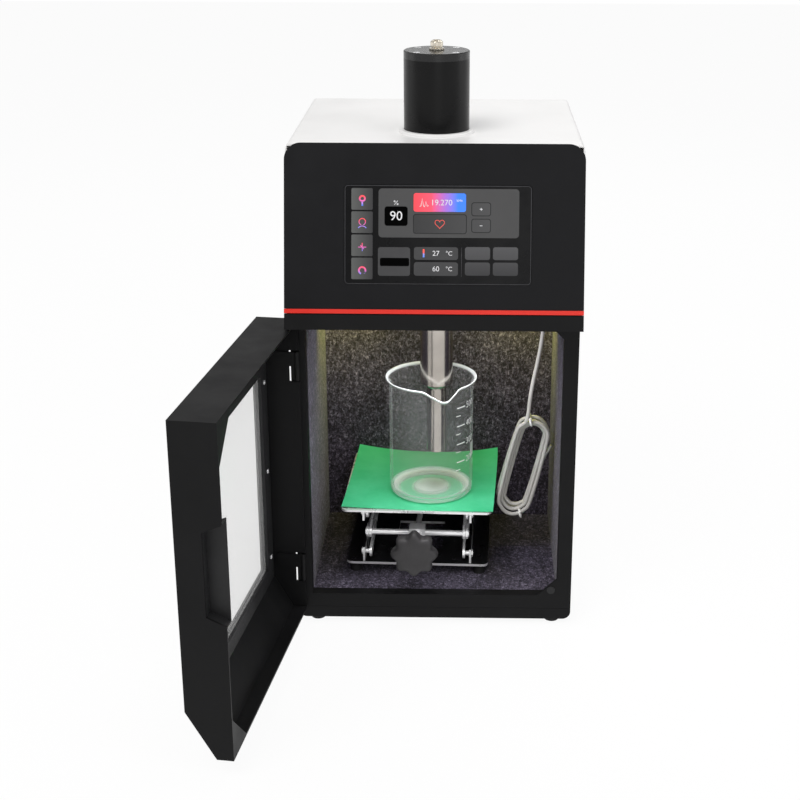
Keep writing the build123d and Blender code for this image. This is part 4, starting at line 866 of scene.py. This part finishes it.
# star knob with soft lobes and a domed face, turning with the lead screw
knobFacts = {
    "outline": [
        (7.5, -6.0), (7.5, -0.4), (15.0, 0.0), (19.6, 0.4), (20.9, 1.8), (21.3, 4.5), (21.3, 8.5),
        (20.9, 11.0), (19.6, 12.9), (17.4, 14.1), (14.0, 14.7), (9.0, 14.95), (4.0, 15.0),
    ],
    "lobes": 8,
    "lobeShare": 0.098,
    "lobesFrom": 8.0,  # the lobes begin at this radius
    "lobesOver": 13.0,  # and are full this much further out
    "turn": 1.8,
    "middleAhead": 4.5,  # from the lobes' rear face to the middle of the knob and its neck
}


def buildKnob(facts):
    piece = turned("starKnob", facts["outline"], (0, 0))
    for point in piece.data.vertices:
        away = point.co.xy.length / mm
        wave = math.cos(facts["lobes"] * math.atan2(point.co.y, point.co.x))
        hold = min(1.0, max(0.0, (away - facts["lobesFrom"]) / facts["lobesOver"]))
        swell = 1.0 + facts["lobeShare"] * wave * hold * hold
        point.co.x *= swell
        point.co.y *= swell
    corners = [Vector(corner) for corner in nodes["jack_knob"].bound_box]
    middle = sum(corners, Vector()) / len(corners)
    turn = Matrix.Rotation(math.radians(-facts["turn"]), 4, "Z")
    upright = Matrix.Rotation(math.radians(90), 4, "X")
    behind = Matrix.Translation((0, 0, -facts["middleAhead"] * mm))
    placeBy(piece, Matrix.Translation(middle) @ turn @ upright @ behind)
    smooth(piece, 50.0)
    dress(piece, "knobBlack", "jack_screw")
    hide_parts("jack_knob")


# socket for the transducer's lead on its cap
socketFacts = {
    "middle": (0, 76),
    "outline": [
        (6.9, 554.97), (7.1, 555.3), (7.1, 556.5), (6.7, 556.9), (5.0, 557.0), (4.7, 557.3), (4.7, 558.1),
        (5.5, 558.3), (5.9, 558.7), (5.9, 562.4), (5.6, 562.8), (4.7, 563.1), (4.5, 563.9), (3.6, 563.9),
        (3.5, 560.8), (1.3, 560.7), (1.1, 562.8), (0.5, 563.0),
    ],
}


def buildSocket(facts):
    piece = turned("leadSocket", facts["outline"], facts["middle"], 48)
    smooth(piece, 32.0)
    dress(piece, "brass", "transducer")
    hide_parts("cap_connector")


buildKnob(knobFacts)
buildSocket(socketFacts)
print("knob and socket made")


# what the touch screen shows: plain tiles, signs and numbers on the leaning glass
screen = {
    "low": (0, -40.6, 320.5),
    "lean": 14.9,
    "lift": 0.31,  # the first layer, over the glass
    "layers": {"shadow": 0.105, "second": 0.11, "key": 0.13, "top": 0.24},  # over the first
    "rimInset": 0.9,
    "rimBend": 3.0,
    "rimWidth": 0.7,
    "divider": 24.6,
    "iconTiles": [(-74.3, -55.2, 108.0 - 20.7 * index, 127.3 - 20.7 * index) for index in range(4)],
    "iconShift": (0.2, -1.2),
    "card": (-50.0, 75.9, 83.5, 127.2),
    "squares": (-44.6, -23.9, 93.9, 111.2),
    "waveButton": (-18.6, 28.3, 106.6, 123.2),
    "heartButton": (-18.4, 28.4, 87.6, 103.9),
    "plus": (33.8, 50.0, 103.6, 114.6),
    "minus": (33.8, 50.0, 88.8, 100.0),
    "mode": (-50.4, -21.5, 49.1, 74.8),
    "modeBand": (-48.6, -22.4, 57.9, 65.2),
    "degreesTop": (-18.1, 21.5, 63.7, 75.1),
    "degreesLow": (-18.1, 21.5, 49.4, 61.6),
    "buttons": [
        (27.7, 50.2, 63.9, 75.4), (52.8, 75.3, 63.9, 75.4),
        (27.7, 50.2, 49.8, 61.6), (52.8, 75.3, 49.8, 61.6),
    ],
    "corners": {"icon": 1.2, "card": 3.2, "tile": 2.4, "key": 2.2, "cardKey": 2.0, "band": 1.4},
    "shadowGrows": 0.7,
    "wave": [
        (-13.1, 111.2), (-12.0, 111.8), (-11.0, 118.6), (-9.8, 111.8),
        (-8.7, 111.0), (-7.6, 115.8), (-6.4, 111.6), (-5.2, 112.0),
    ],
    "waveWidth": 0.75,
    "percent": {"line": [(-35.8, 112.7), (-32.8, 116.3)], "rings": [(-35.6, 115.7), (-33.0, 113.3)]},
    "percentRing": 0.55,
    "signHalf": 1.3,
    "signWidth": 0.6,
    "topWords": [("90", -34.2, 102.4, 11.6), ("19.270", 6.4, 114.6, 7.2), ("kHz", 22.6, 116.7, 3.4)],
    "tileWords": [
        ("27", 1.6, 69.3, 6.4), ("60", 1.6, 55.4, 6.4), ("°C", 13.4, 69.3, 5.6), ("°C", 13.4, 55.4, 5.6),
    ],
    "heart": (4.9, 96.0, 8.6),
    "thermo": [(-9.4, 65.9), (-9.4, 73.2)],
    "thermoWidth": 1.7,
    "thermoPaint": (69.5, 3.8),  # middle and half height of its colours
}
drawn = {"strokeLift": 0.05, "strokeFlat": 0.12, "wordLift": 0.03, "wordThick": 0.02}
leanTurn = math.radians(screen["lean"])
screenFrame = Matrix(
    (
        (1, 0, 0, 0),
        (0, math.sin(leanTurn), -math.cos(leanTurn), screen["low"][1] * mm),
        (0, math.cos(leanTurn), math.sin(leanTurn), screen["low"][2] * mm),
        (0, 0, 0, 1),
    )
)


def middleOf(box):
    left, right, low, high = box
    return (left + right) / 2, (low + high) / 2


def heightAt(facts, along):  # real height of a line on the leaning screen
    return facts["low"][2] + along * math.cos(leanTurn)


def tile(box, radius, lift, thick=0.10):
    left, right, low, high = box
    middleX, middleY = middleOf(box)
    pickNone()
    bpy.ops.mesh.primitive_plane_add(size=1, location=(0, 0, 0))
    piece = named("tile")
    editPoints(piece)
    bpy.ops.transform.resize(value=((right - left) * mm, (high - low) * mm, 1))
    bpy.ops.mesh.bevel(offset=radius * mm, segments=6, affect="VERTICES")
    bpy.ops.mesh.select_all(action="SELECT")
    bpy.ops.mesh.extrude_region_move(TRANSFORM_OT_translate={"value": (0, 0, thick * mm)})
    bpy.ops.mesh.select_all(action="SELECT")
    bpy.ops.transform.translate(value=(middleX * mm, middleY * mm, lift * mm))
    leaveMesh()
    return piece


def strokes(name, lines, width, lift):  # drawn lines on the screen as flat ribbons
    middle = lift + drawn["strokeLift"]
    placed = [([(x, y, middle) for x, y in points], closed) for points, closed in lines]
    activate(tube(name, "POLY", placed, width, 1))
    bpy.ops.object.convert(target="MESH")
    piece = named(name)
    editPoints(piece)
    bpy.ops.transform.resize(value=(1, 1, drawn["strokeFlat"]), center_override=(0, 0, middle * mm))
    leaveMesh()
    return piece


def words(body, x, y, size, lift):
    piece = typed(body, size, drawn["wordThick"])
    placeBy(piece, Matrix.Translation(Vector((x, y, lift + drawn["wordLift"])) * mm))
    return piece


def arc(x, y, radius, start, end, steps=20):
    angles = [math.radians(start + (end - start) * step / steps) for step in range(steps + 1)]
    return [(x + radius * math.cos(angle), y + radius * math.sin(angle)) for angle in angles]


def heart(x, y, size, steps=32):
    points = []
    for step in range(steps):
        turn = math.tau * step / steps
        high = 13 * math.cos(turn) - 5 * math.cos(2 * turn) - 2 * math.cos(3 * turn) - math.cos(4 * turn)
        points.append((x + size / 32 * 16 * math.sin(turn) ** 3, y + size / 32 * high))
    return points


def onScreen(name, pieces, finish):
    piece = joined(name, pieces) if len(pieces) > 1 else pieces[0]
    activate(piece)
    piece = named(name)
    placeBy(piece, screenFrame)
    faceOut(piece)
    dress(piece, finish, "cabinet")


# each sign's line width and lines, round the middle of its tile
iconFacts = {
    "lamp": (1.6, [(arc(0, 1.6, 2.3, -60, 240), True), ([(0, -1.2), (0, -5.0)], False)]),
    "person": (0.8, [(arc(0, 1.6, 2.9, -70, 250), False), (arc(0, -6.6, 4.4, 35, 145), False)]),
    "flake": (
        0.8,
        [
            ([(-3.6, -0.4), (3.6, -0.4)], False),
            ([(0, 3.4), (0, -4.0)], False),
            ([(-1.6, 1.4), (1.6, -2.2)], False),
        ],
    ),
    "ring": (1.6, [(arc(0, -0.6, 3.0, -20, 250), False), ([(2.2, -2.8), (2.3, -3.0)], False)]),
}
iconPaint = {
    "below": 4.0,
    "above": 3.4,
    "stops": ((0.0, (0.16, 0.28, 0.9)), (0.5, (0.7, 0.16, 0.45)), (1.0, (0.95, 0.1, 0.12))),
}
thermoStops = ((0.0, (0.12, 0.3, 0.95)), (0.45, (0.3, 0.3, 0.7)), (0.6, (0.95, 0.12, 0.1)))
signGlow = 0.25
gradients = {  # axis, from, to, colours, glow
    "iconTile": ("X", -74.3, -55.4, ((0.0, (0.115, 0.118, 0.115)), (1.0, (0.05, 0.05, 0.052))), 0.0),
    "keyTile": ("Z", 366.0, 396.0, ((0.0, (0.045, 0.045, 0.047)), (1.0, (0.10, 0.10, 0.104))), 0.0),
    "cardKeyTile": ("X", -18.0, 52.6, ((0.0, (0.05, 0.05, 0.051)), (1.0, (0.085, 0.085, 0.087))), 0.0),
    "waveButton": (
        "X", -19.2, 28.3,
        (
            (0.0, (0.92, 0.075, 0.09)), (0.35, (0.85, 0.10, 0.16)),
            (0.62, (0.36, 0.16, 0.62)), (0.85, (0.06, 0.22, 0.86)),
        ),
        0.2,
    ),
    "redIcon": ("X", 0.0, 9.0, ((0.0, (0.8, 0.11, 0.09)), (1.0, (0.8, 0.13, 0.11))), 0.15),
}
finishes.update({name: gradientFinish(name, *values) for name, values in gradients.items()})


def buildTiles(facts):
    base, corners = facts["lift"], facts["corners"]
    second, keyLift = base + facts["layers"]["second"], base + facts["layers"]["key"]

    def tiles(keys, corner, lift):
        return [tile(facts[key], corners[corner], lift) for key in keys]

    icons = [tile(box, corners["icon"], base) for box in facts["iconTiles"]]
    onScreen("screenIconTiles", icons, "iconTile")
    onScreen("screenCard", tiles(["card"], "card", base), "cardGrey")
    greys = tiles(["mode", "degreesTop", "degreesLow"], "tile", base)
    onScreen("screenTiles", greys, "tileGrey")
    keys = [tile(box, corners["key"], base) for box in facts["buttons"]]
    onScreen("screenKeys", keys, "keyTile")
    cardKeys = tiles(["heartButton", "plus", "minus"], "cardKey", keyLift)
    onScreen("screenCardKeys", cardKeys, "cardKeyTile")
    dark = tiles(["squares"], "tile", second) + tiles(["modeBand"], "band", second)
    onScreen("screenDark", dark, "screenBlack")
    onScreen("screenWave", tiles(["waveButton"], "key", second), "waveButton")


def buildMarks(facts):
    top, second = (facts["lift"] + facts["layers"][layer] for layer in ("top", "second"))
    half = facts["signHalf"]
    (plusX, plusY), (minusX, minusY) = middleOf(facts["plus"]), middleOf(facts["minus"])
    signs = [
        ([(plusX - half, plusY), (plusX + half, plusY)], False),
        ([(plusX, plusY - half), (plusX, plusY + half)], False),
        ([(minusX - half, minusY), (minusX + half, minusY)], False),
        (facts["percent"]["line"], False),
    ]
    signs += [(arc(x, y, facts["percentRing"], 0, 360), False) for x, y in facts["percent"]["rings"]]
    marks = [
        strokes("waveLine", [(facts["wave"], False)], facts["waveWidth"], top),
        strokes("signs", signs, facts["signWidth"], top),
    ]
    marks += [words(*values, top) for values in facts["topWords"]]
    marks += [words(*values, second) for values in facts["tileWords"]]
    onScreen("screenMarks", marks, "screenWhite")


def buildRim(facts):  # a thin lighter line round the picture, which is a painted highlight on the glass's edge, a divider, and shadows round the card's keys
    base, grow = facts["lift"], facts["shadowGrows"]
    grown = [
        tuple(side + push for side, push in zip(facts[key], (-grow, grow, -grow, grow)))
        for key in ("heartButton", "plus", "minus")
    ]
    shadowLift = base + facts["layers"]["shadow"]
    shadows = [tile(box, facts["corners"]["tile"], shadowLift, 0.05) for box in grown]
    onScreen("screenShadows", shadows, "shadeGrey")
    divider = [(facts["divider"], facts["mode"][2]), (facts["divider"], facts["mode"][3])]
    line = strokes("dividerLine", [(divider, False)], facts["signWidth"], base)
    onScreen("screenDivider", [line], "rimHighlightAndDividerGrey")
    # the rim line is a painted highlight on the glass's edge
    corners = [Vector(corner) / mm for corner in nodes["touch_glass"].bound_box]
    away, bend = facts["rimInset"] + facts["rimBend"], facts["rimBend"]
    left, right = min(point.x for point in corners) + away, max(point.x for point in corners) - away
    low, high = (
        (level(point.z for point in corners) - facts["low"][2]) / math.cos(leanTurn)
        for level in (min, max)
    )
    low, high = low + away, high - away
    middles = ((right, high), (left, high), (left, low), (right, low))
    rim = []
    for quarter, (x, y) in enumerate(middles):
        rim += arc(x, y, bend, 90 * quarter, 90 * quarter + 90, 6)
    onScreen("screenRimHighlight", [strokes("rimHighlightLine", [(rim, True)], facts["rimWidth"], base)], "rimHighlightAndDividerGrey")


def buildIcons(facts):
    top, second = (facts["lift"] + facts["layers"][layer] for layer in ("top", "second"))
    line = strokes("heartLine", [(heart(*facts["heart"]), True)], facts["signWidth"], top)
    onScreen("screenHeart", [line], "redIcon")
    shiftX, shiftY = facts["iconShift"]
    for box, (name, (width, lines)) in zip(facts["iconTiles"], iconFacts.items()):
        x, y = middleOf(box)
        x, y = x + shiftX, y + shiftY
        placed = [([(pointX + x, pointY + y) for pointX, pointY in points], closed) for points, closed in lines]
        low, high = heightAt(facts, y) - iconPaint["below"], heightAt(facts, y) + iconPaint["above"]
        paintName = "iconPaint" + name
        finishes[paintName] = gradientFinish(paintName, "Z", low, high, iconPaint["stops"], signGlow)
        onScreen("screenIcon" + name, [strokes(name, placed, width, second)], paintName)
    along, half = facts["thermoPaint"]
    middle = heightAt(facts, along)
    finishes["thermoPaint"] = gradientFinish(
        "thermoPaint", "Z", middle - half, middle + half, thermoStops, signGlow
    )
    line = strokes("thermo", [(facts["thermo"], False)], facts["thermoWidth"], second)
    onScreen("screenThermo", [line], "thermoPaint")


buildTiles(screen)
buildMarks(screen)
buildRim(screen)
buildIcons(screen)
print("screen made")


# floor, light and world
studio = {
    "floorHalf": 6.0,
    "floorColour": (0.92, 0.92, 0.92),
    "floorWhite": 0.93,  # share of plain white that the camera sees in the floor
    "world": 0.52,
    "lamps": [  # name, place and aim in metres, size, power, colour
        ("keyLamp", (-0.8, -1.2, 2.3), (0.0, 0.0, 0.25), 1.2, 27.0, (1.0, 0.99, 0.975)),
        ("fillLamp", (1.5, -1.1, 1.3), (0.0, 0.0, 0.25), 1.0, 8.0, (0.97, 0.98, 1.0)),
        ("frontLamp", (0.25, -1.9, 0.75), (0.0, 0.1, 0.2), 0.8, 2.6, (1.0, 1.0, 1.0)),
        ("backLamp", (0.3, 1.9, 1.7), (0.0, 0.2, 0.4), 1.2, 10.0, (1.0, 1.0, 1.0)),
        ("leftLamp", (-2.2, 0.2, 0.7), (0.0, 0.1, 0.4), 0.7, 3.5, (1.0, 1.0, 1.0)),
        ("rightLamp", (2.2, 0.25, 0.7), (0.0, 0.1, 0.4), 0.7, 5.0, (1.0, 1.0, 1.0)),
        ("chamberLampLeft", (-0.085, 0.13, 0.303), (-0.11, 0.19, 0.26), 0.03, 0.13, (1.0, 0.97, 0.20)),
        ("chamberLampRight", (0.085, 0.13, 0.303), (0.11, 0.19, 0.26), 0.03, 0.13, (1.0, 0.97, 0.20)),
        ("chamberLight", (0.0, 0.022, 0.300), (0.0, 0.10, 0.08), 0.07, 0.30, (0.97, 0.95, 1.0)),
    ],
}


def seenBy(owner, *rays):  # 1 for the named kinds of ray and 0 for the others
    path = addNode(owner, "ShaderNodeLightPath")
    seen = path.outputs[rays[0]]
    for ray in rays[1:]:
        either = addNode(owner, "ShaderNodeMath", operation="ADD", use_clamp=True)
        link(owner, seen, either.inputs[0])
        link(owner, path.outputs[ray], either.inputs[1])
        seen = either.outputs["Value"]
    return seen


def mixOut(owner, kind, share, first, second):
    mix = addNode(owner, "ShaderNodeMixShader")
    link(owner, share, mix.inputs["Fac"])
    link(owner, first, mix.inputs[1])
    link(owner, second, mix.inputs[2])
    link(owner, mix.outputs["Shader"], addNode(owner, kind).inputs["Surface"])


def buildFloor(facts):
    pickNone()
    bpy.ops.mesh.primitive_grid_add(
        x_subdivisions=4, y_subdivisions=4, size=2 * facts["floorHalf"], location=(0, 0, 0)
    )
    floor = named("paleFloor")
    material = bpy.data.materials.new("paleFloor")
    material.use_nodes = True
    material.node_tree.nodes.clear()
    diffuse = addNode(material, "ShaderNodeBsdfDiffuse")
    diffuse.inputs["Color"].default_value = (*facts["floorColour"], 1)
    glow = addNode(material, "ShaderNodeEmission")
    glow.inputs["Strength"].default_value = 1.0
    seen = seenBy(material, "Is Camera Ray", "Is Glossy Ray", "Is Transmission Ray")
    share = addMath(material, "MULTIPLY", seen, facts["floorWhite"])
    mixOut(material, "ShaderNodeOutputMaterial", share, diffuse.outputs["BSDF"], glow.outputs["Emission"])
    floor.data.materials.append(material)


def buildWorld(facts):
    world = bpy.data.worlds.new("paleWorld")
    bpy.context.scene.world = world
    world.use_nodes = True
    world.node_tree.nodes.clear()
    shades = []
    for strength in (facts["world"], 1.0):  # what lights the object, then what the camera sees
        shade = addNode(world, "ShaderNodeBackground")
        shade.inputs["Color"].default_value = (1, 1, 1, 1)
        shade.inputs["Strength"].default_value = strength
        shades.append(shade.outputs["Background"])
    seen = seenBy(world, "Is Camera Ray", "Is Transmission Ray")
    mixOut(world, "ShaderNodeOutputWorld", seen, *shades)


def buildLamps(facts):
    for name, place, aim, size, energy, colour in facts["lamps"]:
        lamp = bpy.data.lights.new(name, "AREA")
        lamp.shape = "SQUARE"
        lamp.size = size
        lamp.energy = energy
        lamp.color = colour
        holder = addObject(name, lamp)
        holder.location = place
        holder.visible_camera = False
        holder.rotation_euler = (Vector(aim) - Vector(place)).to_track_quat("-Z", "Y").to_euler()


buildFloor(studio)
buildWorld(studio)
buildLamps(studio)
bpy.context.scene.view_settings.view_transform = "Standard"
pickNone()
print("studio made")
